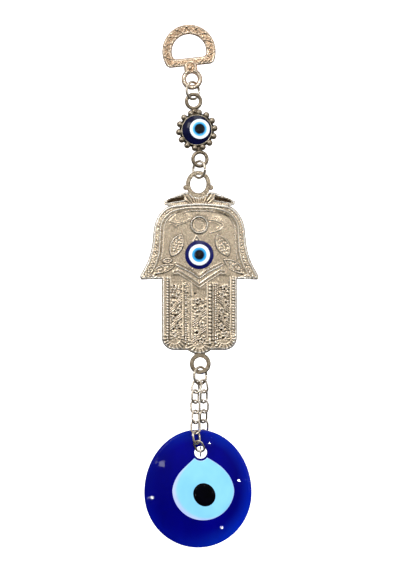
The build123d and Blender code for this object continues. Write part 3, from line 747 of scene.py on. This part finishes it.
def hanger_depth(u, v):
    """Distance into the hanger's outline, clear of its opening, its eye's bore and the niche."""
    r, eye_r = np.hypot(u, v), np.hypot(u, v + EYE_AT)
    bow = np.minimum(np.minimum(11.25 - r, v + 6.05), -np.minimum(OPENING - r, v + 2.7))
    neck = np.minimum(np.minimum(2.8 - np.abs(u), v + 9.6), -5.0 - v)
    niche = []
    for a in np.arange(0, TURN, 0.35):
        lift = math.copysign(NICHE_STRETCH, math.sin(a) or -1)
        niche.append((math.cos(a) * NICHE_RADIUS, NICHE_AT + lift + math.sin(a) * NICHE_RADIUS))
    whole = np.maximum(np.maximum(bow, neck), 4.4 - eye_r)
    return np.minimum(np.minimum(whole, eye_r - 2.4), 0.1 - depth_in(u, v, niche)) - 0.38


def hanger_pattern(u, v):
    """Zigzags with dots in their triangles round the bow, leaf strokes on the bar and a ring on the eye."""
    r, side = np.hypot(u, v), np.abs(u)
    turns = np.arctan2(u, v) / TURN * TEETH
    zigzag = 7.9 + np.abs((turns % 1) * 2 - 1) * 2.7
    bow = (v > -3.4) * step(r, 7.4, 7.7)
    total = ridge((r - zigzag) * 0.72, 0.30, 0.24) * bow + ridge(r - 10.85, 0.26, 0.14) * (v > -5.8)
    for radius, shift in ((10.15, 0.0), (8.35, 0.5)):
        offset = ((turns + 0.5 + shift) % 1 - 0.5) / TEETH * TURN * radius
        total += ridge(np.hypot(offset, r - radius), 0.46, 0.26) * bow
        total -= ridge(np.hypot(np.abs(offset) - 0.75, r - radius), 0.36, 0.22) * bow
    bar = (v < -3.2) & (v > -5.9) & (side < 9.0)
    for x in (-6.6, -4.6, 4.4, 6.2, 8.0):
        total += bar * step(leaf(u, v, (x - 0.9, -5.3), (x + 0.9, -3.7), 0.5)[0], 0, 0.3) * 0.24
    total += ridge(np.hypot(side - 5.5, v + 4.1), 0.4, 0.24) + ridge(np.hypot(side - 7.3, v + 5.0), 0.36, 0.2)
    total += stroke(u, v, 0.34, 0.26, *ARCH)
    return total + ridge(np.hypot(u, v + EYE_AT) - 3.4, 0.55, 0.16) * (v < -7.6)


def niche_ball():
    """The ball in the hanger's niche, in a light gold that paints its highlight into its colour."""
    centre = hanger_centre + Vector((6.75 * math.sin(hanger_lean) - 0.25, -0.62, -6.95 * math.cos(hanger_lean)))
    form = bmesh.new()
    bmesh.ops.create_uvsphere(form, u_segments=24, v_segments=14, radius=0.78 * MM)
    for vertex in form.verts:
        vertex.co.z *= 1.12
        vertex.co += centre * MM
    place("niche_ball", as_mesh("niche_ball", form), "hanger", "rose_gold_casting", painted_highlight_gold)


# ---------------------------------------------------------------- wire, links and beads by node trees

def new_tree(name, **sizes):
    """A node tree with one number input for each size and one geometry output."""
    tree = bpy.data.node_groups.new(name, "GeometryNodeTree")
    tree.interface.new_socket("Geometry", in_out="INPUT", socket_type="NodeSocketGeometry")
    for size, value in sizes.items():
        kind = "NodeSocketInt" if isinstance(value, int) else "NodeSocketFloat"
        tree.interface.new_socket(size, in_out="INPUT", socket_type=kind).default_value = value
    tree.interface.new_socket("Geometry", in_out="OUTPUT", socket_type="NodeSocketGeometry")
    return tree, tree.nodes.new("NodeGroupInput").outputs, tree.nodes.new("NodeGroupOutput").inputs


def input_of(tree, size):
    """The identifier that a modifier knows a size by."""
    items = tree.interface.items_tree
    return next(i.identifier for i in items if i.item_type == "SOCKET" and i.in_out == "INPUT" and i.name == size)


def finish_tree(tree, end, geometry, material):
    real = wired(tree, "GeometryNodeRealizeInstances", {"Geometry": geometry})
    smooth = wired(tree, "GeometryNodeSetShadeSmooth", {"Geometry": real})
    coat = wired(tree, "GeometryNodeSetMaterial", {"Geometry": smooth, "Material": material})
    tree.links.new(coat, end["Geometry"])
    return tree


def oval_link_tree():
    """A chain link: a round wire swept along an oval."""
    tree, size, end = new_tree("oval_link", length=1.0, width=1.0, wire=0.1)
    sides = {"Width": size["width"], "Height": size["length"]}
    oval = wired(tree, "GeometryNodeCurvePrimitiveQuadrilateral", sides)
    half = wired(tree, "ShaderNodeMath", {0: size["width"], 1: 0.499}, operation="MULTIPLY")
    bend = wired(tree, "GeometryNodeFilletCurve", {"Curve": oval, "Radius": half, "Count": 9}, mode="POLY")
    section = wired(tree, "GeometryNodeCurvePrimitiveCircle", {"Radius": size["wire"], "Resolution": 12})
    swept = wired(tree, "GeometryNodeCurveToMesh", {"Curve": bend, "Profile Curve": section})
    return finish_tree(tree, end, swept, wire_metal)


def cut_ring_tree():
    """A jump ring: a round wire bent into a circle with a narrow cut."""
    tree, size, end = new_tree("cut_ring", radius=1.0, wire=0.1, turn=6.2)
    bend = {"Radius": size["radius"], "Sweep Angle": size["turn"], "Resolution": 56}
    arc = wired(tree, "GeometryNodeCurveArc", bend)
    section = wired(tree, "GeometryNodeCurvePrimitiveCircle", {"Radius": size["wire"], "Resolution": 14})
    swept = wired(tree, "GeometryNodeCurveToMesh", {"Curve": arc, "Profile Curve": section, "Fill Caps": True})
    return finish_tree(tree, end, swept, wire_metal)


def bead_crown_tree():
    """Round beads set in a circle."""
    tree, size, end = new_tree("bead_crown", radius=1.0, bead=0.1, count=14, turn=0.0)
    circle = wired(tree, "GeometryNodeMeshCircle", {"Radius": size["radius"], "Vertices": size["count"]})
    angle = wired(tree, "ShaderNodeCombineXYZ", {"Z": size["turn"]})
    turned = wired(tree, "GeometryNodeTransform", {"Geometry": circle, "Rotation": angle})
    bead = wired(tree, "GeometryNodeMeshUVSphere", {"Radius": size["bead"], "Segments": 20, "Rings": 12})
    seated = wired(tree, "GeometryNodeInstanceOnPoints", {"Points": turned, "Instance": bead})
    return finish_tree(tree, end, seated, pewter_cast)


def grown(tree, name, matrix, **sizes):
    """The tree's result as a plain mesh, set in place."""
    carrier = bpy.data.objects.new(name, bpy.data.meshes.new(name))
    bpy.context.scene.collection.objects.link(carrier)
    modifier = carrier.modifiers.new("form", "NODES")
    modifier.node_group = tree
    for size, value in sizes.items():
        modifier[input_of(tree, size)] = value
    graph = bpy.context.evaluated_depsgraph_get()
    mesh = bpy.data.meshes.new_from_object(carrier.evaluated_get(graph))
    mesh.name = name
    bpy.data.objects.remove(carrier)
    mesh.transform(matrix)
    return mesh


def frame_of(centre, across, up):
    """A turn and shift that lays a flat form with its x across and its y up at a centre in millimetres."""
    across, up = across.normalized(), up.normalized()
    matrix = Matrix((across, up, across.cross(up))).transposed().to_4x4()
    matrix.translation = centre * MM
    return matrix


# The chain's links are swept along the solids' middle lines; where the chain is open, their wire is thinner
LINK_LONG, LINK_WIDE = 5.47, 3.66
LINK_WIRE, END_WIRE = 0.92, 0.66
LINK_TURNS = (-10.0, 45.0)
STRAND = 7
BACK_END = Vector((4.696, 1.484, -174.814))


def chain():
    """A strand of links in front of the glass, one behind it, and the link in its hole."""
    tree = oval_link_tree()

    def link(node, middle, across, up, wire):
        mesh = grown(
            tree, node, frame_of(middle, across, up),
            length=LINK_LONG * MM, width=LINK_WIDE * MM, wire=wire / 2 * MM,
        )
        place(f"{node}_wire", mesh, node, "nickel_silver_wire", stands_for=node)

    for side, last in (("front", joint_at["hole_chain_link_swing"]), ("back", BACK_END)):
        points = [joint_at[f"{side}_chain_link_{i + 1}_swing"] for i in range(STRAND)] + [last]
        for i, (top, end) in enumerate(zip(points, points[1:])):
            up = (top - end).normalized()
            turn = math.radians(LINK_TURNS[i % 2])
            lateral = Vector((math.cos(turn), math.sin(turn), 0))
            node = f"{side}_chain_link_{i + 1}"
            wire = END_WIRE if node == "back_chain_link_7" else LINK_WIRE
            link(node, (top + end) / 2, lateral - up * lateral.dot(up), up, wire)
    low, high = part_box("hole_chain_link")
    link("hole_chain_link", (low + high) / 2 / MM, Vector((0, 0, 1)), Vector((0, 1, 0)), END_WIRE)


# Radius of each ring's middle line, and the side, left -1 or right 1, that it turns to the front
RINGS = (("top_jump_ring", 3.6, -1), ("middle_jump_ring", 3.5, 1), ("bottom_jump_ring", 3.6, -1))
RING_WIRE_RADIUS, RING_TURN, RING_SLANT = 0.58, math.radians(357), math.radians(45)


def jump_rings():
    tree = cut_ring_tree()
    for node, radius, side in RINGS:
        low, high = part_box(node)
        across = Vector((math.cos(RING_SLANT), -side * math.sin(RING_SLANT), 0))
        matrix = frame_of((low + high) / 2 / MM, across, Vector((0, 0, 1)))
        mesh = grown(tree, node, matrix, radius=radius * MM, wire=RING_WIRE_RADIUS * MM, turn=RING_TURN)
        place(f"{node}_wire", mesh, node, "nickel_silver_wire", stands_for=node)


# ---------------------------------------------------------------- connector

CUP_PROFILE = (
    (0, -1.0), (6.9, -1.0), (7.3, -0.8), (7.3, -0.15), (6.52, 0.05), (6.5, 1.05), (6.4, 1.28), (6.25, 1.36),
    (6.12, 1.26), (6.08, 1.0), (6.07, 0.0), (0, 0.0),
)
LOOP_RADIUS, LOOP_WIRE = 2.95, 0.8
NECK_AT, NECK_LONG, NECK_FOOT, NECK_TOP, NECK_FLAT = 8.1, 3.0, 1.45, 1.15, 0.52
BEADS, BEAD_CIRCLE, BEAD_RADIUS, BEAD_LIFT = 14, 7.48, 1.40, 0.25


def lathe(profile, steps, matrix):
    """A closed turned form: radius and height in millimetres, turned about the height."""
    form = bmesh.new()
    rings = []
    for k in range(steps):
        x, y = math.cos(TURN * k / steps), math.sin(TURN * k / steps)
        rings.append([form.verts.new((r * x * MM, r * y * MM, h * MM)) for r, h in profile])
    for first, second in zip(rings, rings[1:] + rings[:1]):
        for i in range(len(profile)):
            j = (i + 1) % len(profile)
            form.faces.new((first[i], second[i], second[j], first[j]))
    bmesh.ops.remove_doubles(form, verts=form.verts, dist=1e-7)
    bmesh.ops.recalc_face_normals(form, faces=form.faces)
    form.transform(matrix)
    return form


def cup_stain(radius, height):
    """Dark between the beads, lighter up to their crowns and bright on the bezel."""
    if radius < 6.6 and height > 0.9:
        return 0.95
    if not 6.35 < radius < 9.2:
        return 0.45
    if radius > 8.3 and height > 0.1:
        return 0.42
    if height < 0.9:
        return 0.02 + 0.16 * max(0.0, height - 0.2)
    return 0.34 + 0.42 * min(1.0, (height - 0.9) / 0.6)


def cup_casting():
    """The connector's casting: a floored cup with a thin bright bezel, beads, two loops and their necks."""
    matrix = frame_of(cup_centre, cup_across, cup_up)
    angles = np.arange(0, TURN, math.pi / 8)
    loop = [(LOOP_RADIUS + LOOP_WIRE * math.cos(a), LOOP_WIRE * math.sin(a)) for a in angles]
    forms = [lathe(CUP_PROFILE, 72, matrix)]
    for end in (1, -1):
        outward = cup_up * end
        forms.append(lathe(loop, 48, frame_of(cup_centre + outward * CUP_REACH, cup_across, cup_up)))
        neck = bmesh.new()
        cone = {"radius1": NECK_FOOT * MM, "radius2": NECK_TOP * MM, "depth": NECK_LONG * MM}
        bmesh.ops.create_cone(neck, cap_ends=True, segments=16, **cone)
        bmesh.ops.scale(neck, vec=(1.0, NECK_FLAT, 1.0), verts=neck.verts)
        turn = Matrix((cup_across, cup_up.cross(cup_across) * end, outward)).transposed().to_4x4()
        turn.translation = (cup_centre + outward * NECK_AT) * MM
        neck.transform(turn)
        bmesh.ops.recalc_face_normals(neck, faces=neck.faces)
        forms.append(neck)
    whole = bmesh.new()
    for form in forms:
        part = as_mesh("part", form)
        whole.from_mesh(part)
        bpy.data.meshes.remove(part)
    # the eye that fills the cup hides the beads' inner halves
    whole.from_mesh(grown(
        bead_crown_tree(), "beads", matrix @ Matrix.Translation((0, 0, BEAD_LIFT * MM)),
        radius=BEAD_CIRCLE * MM, bead=BEAD_RADIUS * MM, count=BEADS, turn=math.radians(90 + 180 / BEADS),
    ))
    mesh = as_mesh("connector_casting", whole)
    seats = [matrix.inverted() @ vertex.co / MM for vertex in mesh.vertices]
    stain = [cup_stain(math.hypot(seat.x, seat.y), seat.z) for seat in seats]
    mesh.attributes.new("patina", "FLOAT", "POINT").data.foreach_set("value", stain)
    place("connector_casting", mesh, "connector", "antique_pewter", pewter_cast, "connector_cup")


# ---------------------------------------------------------------- glass, seen from the middle of its hole

DISC_MIDDLE = Vector((-1.15, -17.0))
DISC_WIDE, DISC_UP, DISC_DOWN = 22.6, 26.5, 23.1
CROWN, CROWN_BALL, BACK = 3.4, 130.0, 1.7
HOLE, MOUTH, BACK_MOUTH = 2.6, 0.7, 1.6
RIM_IN, RIM_BACK = 2.3, 1.2


def circled(a):
    return Vector((math.cos(a), math.sin(a)))


def crown_height(p):
    """How far the disc's front stands out at a point seen from its middle."""
    return CROWN - CROWN_BALL + math.sqrt(CROWN_BALL**2 - p.x**2 - p.y**2)


def disc_body():
    """A thick egg of glass with a domed front, a flat back, a melted round rim and a soft hole, with painted light
    marked along its rim.
    """
    steps, flats = 160, 26
    mouth_turns = [QUARTER * i / 8 for i in range(9)]
    rim_turns = [QUARTER * i / 12 for i in range(13)]
    points, light = [], []
    for k in range(steps):
        a = TURN * k / steps
        egg = Vector((DISC_WIDE * math.cos(a), (DISC_UP if math.sin(a) > 0 else DISC_DOWN) * math.sin(a)))
        inner = circled(a) * HOLE
        span = (egg + DISC_MIDDLE - inner).length
        way = (egg + DISC_MIDDLE - inner) / span
        front = lambda d: crown_height(inner + way * d - DISC_MIDDLE)
        row = [(MOUTH * (1 - math.cos(t)), MOUTH * (1 - math.sin(t)) - front(MOUTH)) for t in mouth_turns]
        row += [(d, -front(d)) for d in (MOUTH + (span - MOUTH - RIM_IN) * i / flats for i in range(1, flats))]
        edge = front(span - RIM_IN)
        half, level = (edge + BACK) / 2, (edge - BACK) / 2
        for side, reach, turns in ((-1, RIM_IN, rim_turns), (1, RIM_BACK, rim_turns[-2::-1])):
            row += [
                (span - reach * (1 - math.sin(t) ** 0.9), side * half * math.cos(t) ** 0.8 - level) for t in turns
            ]
        row.append(((span + BACK_MOUTH) / 2, BACK))
        row += [(BACK_MOUTH * (1 - math.cos(t)), BACK - BACK_MOUTH * (1 - math.sin(t))) for t in mouth_turns[::-1]]
        # painted light at the rim: how much lighter the glass is drawn near its edge, most towards the upper right
        # and lower right, least at the lower left
        upper, lower_right = 0.5 + 0.5 * math.sin(a + 0.9), max(0.0, math.cos(a + 0.75)) ** 3
        for d, y in row:
            p = inner + way * d
            points.append((p.x + hole_at.x, y, p.y + hole_at.z))
            gather = max(0.0, 1 - (span - d) / 7.5) ** 1.3
            light.append(min(1.0, gather * (0.12 + 0.6 * upper**2 + 0.8 * lower_right)))
    count = len(row)
    faces = []
    for k in range(steps):
        here, there = k * count, (k + 1) % steps * count
        for i in range(count):
            j = (i + 1) % count
            faces.append((here + i, there + i, there + j, here + j))
    mesh = mesh_of("glass_disc_body", points, faces, "painted_rim_light", light)
    place("glass_disc_body", mesh, "disc", "cobalt_glass", cobalt_glass(), "glass_disc")


IRIS_LEFT = (
    (-2.5, -2.2), (-4.7, -4.2), (-7.0, -6.4), (-8.84, -8.4), (-10.29, -10.7), (-11.37, -13.2), (-11.9, -15.6),
)
IRIS_RIGHT = (
    (2.7, -2.0), (5.23, -3.45), (8.1, -5.4), (10.29, -7.5), (12.09, -9.8), (13.36, -12.5), (14.06, -15.3),
)
IRIS_MIDDLE, IRIS_RADIUS = Vector((1.08, -15.3)), 13.0
IRIS_ROUND, IRIS_LIP, LIP_RADIUS = 64, 10, 3.35
PUPIL_MIDDLE, PUPIL_WIDE, PUPIL_TALL = Vector((1.55, -17.5)), 4.7, 4.85


def iris_outline():
    """The teardrop, seen from the hole: round below, with flanks that run up to the hole's mouth."""
    points = eased(IRIS_LEFT)
    points += [IRIS_MIDDLE + IRIS_RADIUS * circled(math.pi * (1 + k / IRIS_ROUND)) for k in range(1, IRIS_ROUND)]
    points += eased(IRIS_RIGHT)[::-1]
    for k in range(1, IRIS_LIP):
        x = 2.7 - 5.2 * k / IRIS_LIP
        points.append(Vector((x, -math.sqrt(LIP_RADIUS**2 - x**2))))
    return points


def glass_drop(name, node, slot, glass, outline, centre, level, base, stand, shoulder, milk):
    """A pool of glass laid on the disc: domed over its outline, with its underside let into what carries it."""
    rows = 22
    points, values = [], []

    def put(p, height, value):
        points.append((p.x + hole_at.x, -height, p.y + hole_at.z))
        values.append(value)

    for n in range(rows + 1):
        s = 1 - (n / rows) ** 1.6 if n < rows else 0.0
        for p in outline:
            q = centre + (p - centre) * s
            edge = (p - centre).length * (1 - s)
            rise = stand * math.sqrt(max(0.0, 1 - (1 - min(1.0, edge / shoulder)) ** 2))
            put(q, crown_height(q - DISC_MIDDLE) + level + rise, milk(q - centre, edge))
    for p in outline:
        put(p, crown_height(p - DISC_MIDDLE) - base, 0.0)
    size = len(outline)
    floor = (rows + 1) * size
    pairs = [(k, (k + 1) % size) for k in range(size)]
    faces = [(n + k, n + j, n + size + j, n + size + k) for n in range(0, rows * size, size) for k, j in pairs]
    faces += [(k, j, floor + j, floor + k) for k, j in pairs] + [tuple(range(floor, floor + size))]
    place(name, mesh_of(name, points, faces, "milk", values), "disc", slot, glass, node)


def glass_eye():
    def milk(q, edge):
        toward = max(0.0, (-q.x * 0.86 - q.y * 0.5) / max(q.length, 1e-6))
        return min(1.0, max(0.0, 1 - edge / (0.5 + 1.9 * toward)) * (0.8 + 0.9 * toward))

    glass_drop(
        "iris_glass", "glass_iris", "sky_glass", sky_glass(), iris_outline(), IRIS_MIDDLE,
        level=-0.05, base=0.9, stand=0.5, shoulder=2.4, milk=milk,
    )
    ring = []
    for k in range(64):
        a = TURN * k / 64
        wobble = 1 + 0.045 * math.cos(2 * (a + math.radians(48)))
        ring.append(PUPIL_MIDDLE + Vector((PUPIL_WIDE * math.cos(a), PUPIL_TALL * math.sin(a))) * wobble)
    glass_drop(
        "pupil_glass", "glass_pupil", "navy_glass", navy_glass(), ring, PUPIL_MIDDLE,
        level=0.40, base=0.2, stand=0.45, shoulder=1.6, milk=lambda q, edge: 0.0,
    )


# ---------------------------------------------------------------- solids of the frame that stay

def smoothing_tree():
    """Welds a solid's loose triangles and shades it smooth except across sharp edges."""
    tree, size, end = new_tree("smooth_solid", sharp=0.6)
    weld = wired(tree, "GeometryNodeMergeByDistance", {"Geometry": size["Geometry"], "Distance": 2e-6})
    faces = wired(tree, "GeometryNodeSetShadeSmooth", {"Geometry": weld})
    bend = wired(tree, "GeometryNodeInputMeshEdgeAngle", {}, "Unsigned Angle")
    feeds = {0: bend, 1: size["sharp"]}
    over = wired(tree, "FunctionNodeCompare", feeds, operation="GREATER_THAN", data_type="FLOAT")
    feeds = {"Geometry": faces, "Selection": over, "Shade Smooth": False}
    tree.links.new(wired(tree, "GeometryNodeSetShadeSmooth", feeds, domain="EDGE"), end["Geometry"])
    return tree


def dress_solids():
    """Finishes for the solids that stay, smooth but for their sharp edges."""
    tree = smoothing_tree()
    connector_eye = cup_centre + 1.3 * cup_across + 0.25 * cup_up + Vector((0, -2.9, 0))
    palm_eye = hand_origin + Vector((0, -3.7, -EYE_DROP))
    white, shade, pale, sky = shades((238, 246, 252), (222, 236, 248), (120, 206, 244), (70, 180, 232))
    dark_blue, blue = shades((14, 52, 96), (44, 158, 222))
    black, glue = resin("black_resin", *shades((6, 8, 12), (14, 18, 24))), glue_resin()
    finishes = {
        "hanger": rose_gold_plain,
        "hand_plate": champagne_plain,
        "connector_eye_glue": glue,
        "connector_eye_base": resin("night_resin", *shades((4, 6, 34), (6, 9, 50))),
        "connector_eye_white_ring": ring_resin("white_resin_small", connector_eye, 2.9, 3.6, pale, white, white),
        "connector_eye_iris_ring": ring_resin("blue_resin_small", connector_eye, 2.0, 2.85, dark_blue, blue, pale),
        "connector_eye_pupil": black,
        "palm_eye_glue": glue,
        "palm_eye_base": resin("navy_resin", *shades((6, 8, 64), (10, 16, 92))),
        "palm_eye_white_ring": ring_resin("white_resin", palm_eye, 3.0, 3.5, shade, white, white),
        "palm_eye_iris_ring": ring_resin("blue_resin", palm_eye, 1.9, 3.0, dark_blue, blue, sky),
        "palm_eye_pupil": black,
    }
    for node, material in finishes.items():
        solid = frame["nodes"][node]
        if not solid.data.materials:
            solid.data.materials.append(material)
        for slot in solid.material_slots:
            slot.material = material
        modifier = solid.modifiers.new("smooth", "NODES")
        modifier.node_group = tree
        modifier[input_of(tree, "sharp")] = 0.45 if node in ("hanger", "hand_plate") else 0.7


# ---------------------------------------------------------------- stage, lamps and camera, in metres

CARD_WHITE, CARD_GLOW = (0.9, 0.9, 0.915, 1), 0.80
WALL_AT, FLOOR_AT = 0.3, -0.26
ROOM_LIGHT = (
    (0.0, (0.05, 0.05, 0.05, 1)), (0.40, (0.22, 0.22, 0.21, 1)), (0.58, (0.66, 0.66, 0.66, 1)),
    (1.0, (0.95, 0.96, 1.0, 1)),
)
# Lamps by place, size and watts. Glints, which the glass mirrors, by angle to its right and up, size and watts
PART_MIDDLE, GLASS_AT = (0.004, 0, -0.105), (0.0037, 0, -0.1925)
LAMPS = (
    ("key", (-0.45, -0.75, 0.35), 0.36, 2.7),
    ("fill", (0.62, -0.7, -0.05), 0.45, 0.85),
    ("top", (0.05, -0.35, 0.65), 0.4, 1.25),
    ("behind", (0.40, 0.85, 0.25), 0.5, 2.2),
)
GLINTS = (
    ("left_glint", -19.2, -8.5, 0.011, 0.26),
    ("low_glint", 10.5, -20.8, 0.011, 0.26),
    ("high_glint", 5.0, 14.8, 0.010, 0.24),
    ("right_glint", 17.2, -1.2, 0.010, 0.24),
    ("window", -15.4, 6.2, 0.045, 0.17),
)
LENS, SENSOR, VIEW_TALL = 120.0, 36.0, 0.2394
VIEW_MIDDLE = (0.00462, -0.10525)


def card(name, in_mirrors):
    """White card seen only from its front; kept out of mirrors, it leaves polished metal dark there."""
    finish = Finish(name, Roughness=0.9, Base_Color=CARD_WHITE)
    rays = finish.tree.nodes.new("ShaderNodeLightPath").outputs
    strength = finish.add("ShaderNodeMath", {0: rays["Is Camera Ray"], 1: CARD_GLOW}, operation="MULTIPLY")
    glow = finish.add("ShaderNodeEmission", {"Color": (1, 1, 1, 1), "Strength": strength})
    both = finish.add("ShaderNodeAddShader", {0: finish.shader.outputs[0], 1: glow})
    hidden = finish.add("ShaderNodeNewGeometry", {}, "Backfacing")
    if not in_mirrors:
        hidden = finish.add("ShaderNodeMath", {0: hidden, 1: rays["Is Glossy Ray"]}, operation="MAXIMUM")
    clear = finish.add("ShaderNodeBsdfTransparent", {})
    pick = finish.add("ShaderNodeMixShader", {0: hidden, 1: both, 2: clear})
    finish.tree.links.new(pick, finish.tree.nodes["Material Output"].inputs["Surface"])
    return finish.material


def backdrop():
    """A white wall well behind and a white floor well below, clear of the part at every swing."""
    wall = [(x, WALL_AT, z) for x, z in ((-1.2, -0.9), (1.2, -0.9), (1.2, 0.8), (-1.2, 0.8))]
    ground = [(x, y, FLOOR_AT) for x, y in ((-1.5, -1.5), (1.5, -1.5), (1.5, 1.5), (-1.5, 1.5))]
    for name, corners in (("back_wall", wall), ("floor", ground)):
        mesh = bpy.data.meshes.new(name)
        mesh.from_pydata(corners, [], [(0, 1, 2, 3)])
        mesh.materials.append(card(name, name == "back_wall"))
        sheet = bpy.data.objects.new(name, mesh)
        bpy.context.scene.collection.objects.link(sheet)


def lamp(name, at, size, watts, toward=PART_MIDDLE):
    data = bpy.data.lights.new(name, "AREA")
    data.size, data.energy = size, watts
    light = bpy.data.objects.new(name, data)
    bpy.context.scene.collection.objects.link(light)
    light.location = at
    light.rotation_euler = (Vector(toward) - Vector(at)).to_track_quat("-Z", "Y").to_euler()


def world_light():
    """A white room for what sees it straight or through glass, and a soft fall of light from above for the rest."""
    world = bpy.data.worlds.new("room")
    bpy.context.scene.world = world
    world.use_nodes = True
    tree = world.node_tree
    toward = wired(tree, "ShaderNodeTexCoord", {}, "Generated")
    height = wired(tree, "ShaderNodeSeparateXYZ", {0: toward}, "Z")
    fall = colour_ramp(tree, wired(tree, "ShaderNodeMapRange", {"Value": height, "From Min": -1.0}), ROOM_LIGHT)
    rays = tree.nodes.new("ShaderNodeLightPath").outputs
    feeds = {0: rays["Is Camera Ray"], 1: rays["Is Transmission Ray"]}
    seen = wired(tree, "ShaderNodeMath", feeds, operation="MAXIMUM")
    light = wired(tree, "ShaderNodeMix", {0: seen, 6: fall, 7: (1, 1, 1, 1)}, 2, data_type="RGBA")
    tree.links.new(light, tree.nodes["Background"].inputs["Color"])


def camera():
    data = bpy.data.cameras.new("camera")
    data.lens, data.sensor_width = LENS, SENSOR
    data.clip_start, data.clip_end = 0.01, 20
    view = bpy.data.objects.new("camera", data)
    bpy.context.scene.collection.objects.link(view)
    view.location = (VIEW_MIDDLE[0], -VIEW_TALL * LENS / SENSOR, VIEW_MIDDLE[1])
    view.rotation_euler = (QUARTER, 0, 0)
    bpy.context.scene.camera = view


camera()
backdrop()
world_light()
for light in LAMPS:
    lamp(*light)
for name, right, up, size, watts in GLINTS:
    across, rise = math.tan(math.radians(right)), math.tan(math.radians(up))
    lamp(name, (GLASS_AT[0] + across, -1.0, GLASS_AT[2] + rise), size, watts, GLASS_AT)
bpy.context.scene.view_settings.view_transform = "Standard"

relief(
    "hand_relief", "hand_plate", "hand", "champagne_casting", champagne_carved, hand_origin, lean=0.0,
    area=(-25.6, 25.6, -64.2, 0.6), pitch=0.19, outline=hand_depth, pattern=hand_pattern,
    back=-0.55, stain=(0.48, 2.4), lift=0.05, ink=hand_ink, filled=plain_front,
)
relief(
    "crest_relief", "hand_plate", "hand", "champagne_casting", champagne_carved, hand_origin, lean=0.0,
    area=(-15.6, 15.6, -2.0, 5.4), pitch=0.16, outline=crest_depth, pattern=crest_pattern,
    back=0.3, stain=(0.42, 1.5), lift=0.05, ink=crest_ink,
)
relief(
    "hanger_relief", "hanger", "hanger", "rose_gold_casting", rose_gold_carved, hanger_centre, lean=hanger_lean,
    area=(-11.4, 11.4, -16.4, 11.4), pitch=0.14, outline=hanger_depth, pattern=hanger_pattern,
    back=-0.3, stain=(0.46, 2.7), lift=0.03,
)
niche_ball()
jump_rings()
chain()
cup_casting()
disc_body()
glass_eye()
dress_solids()
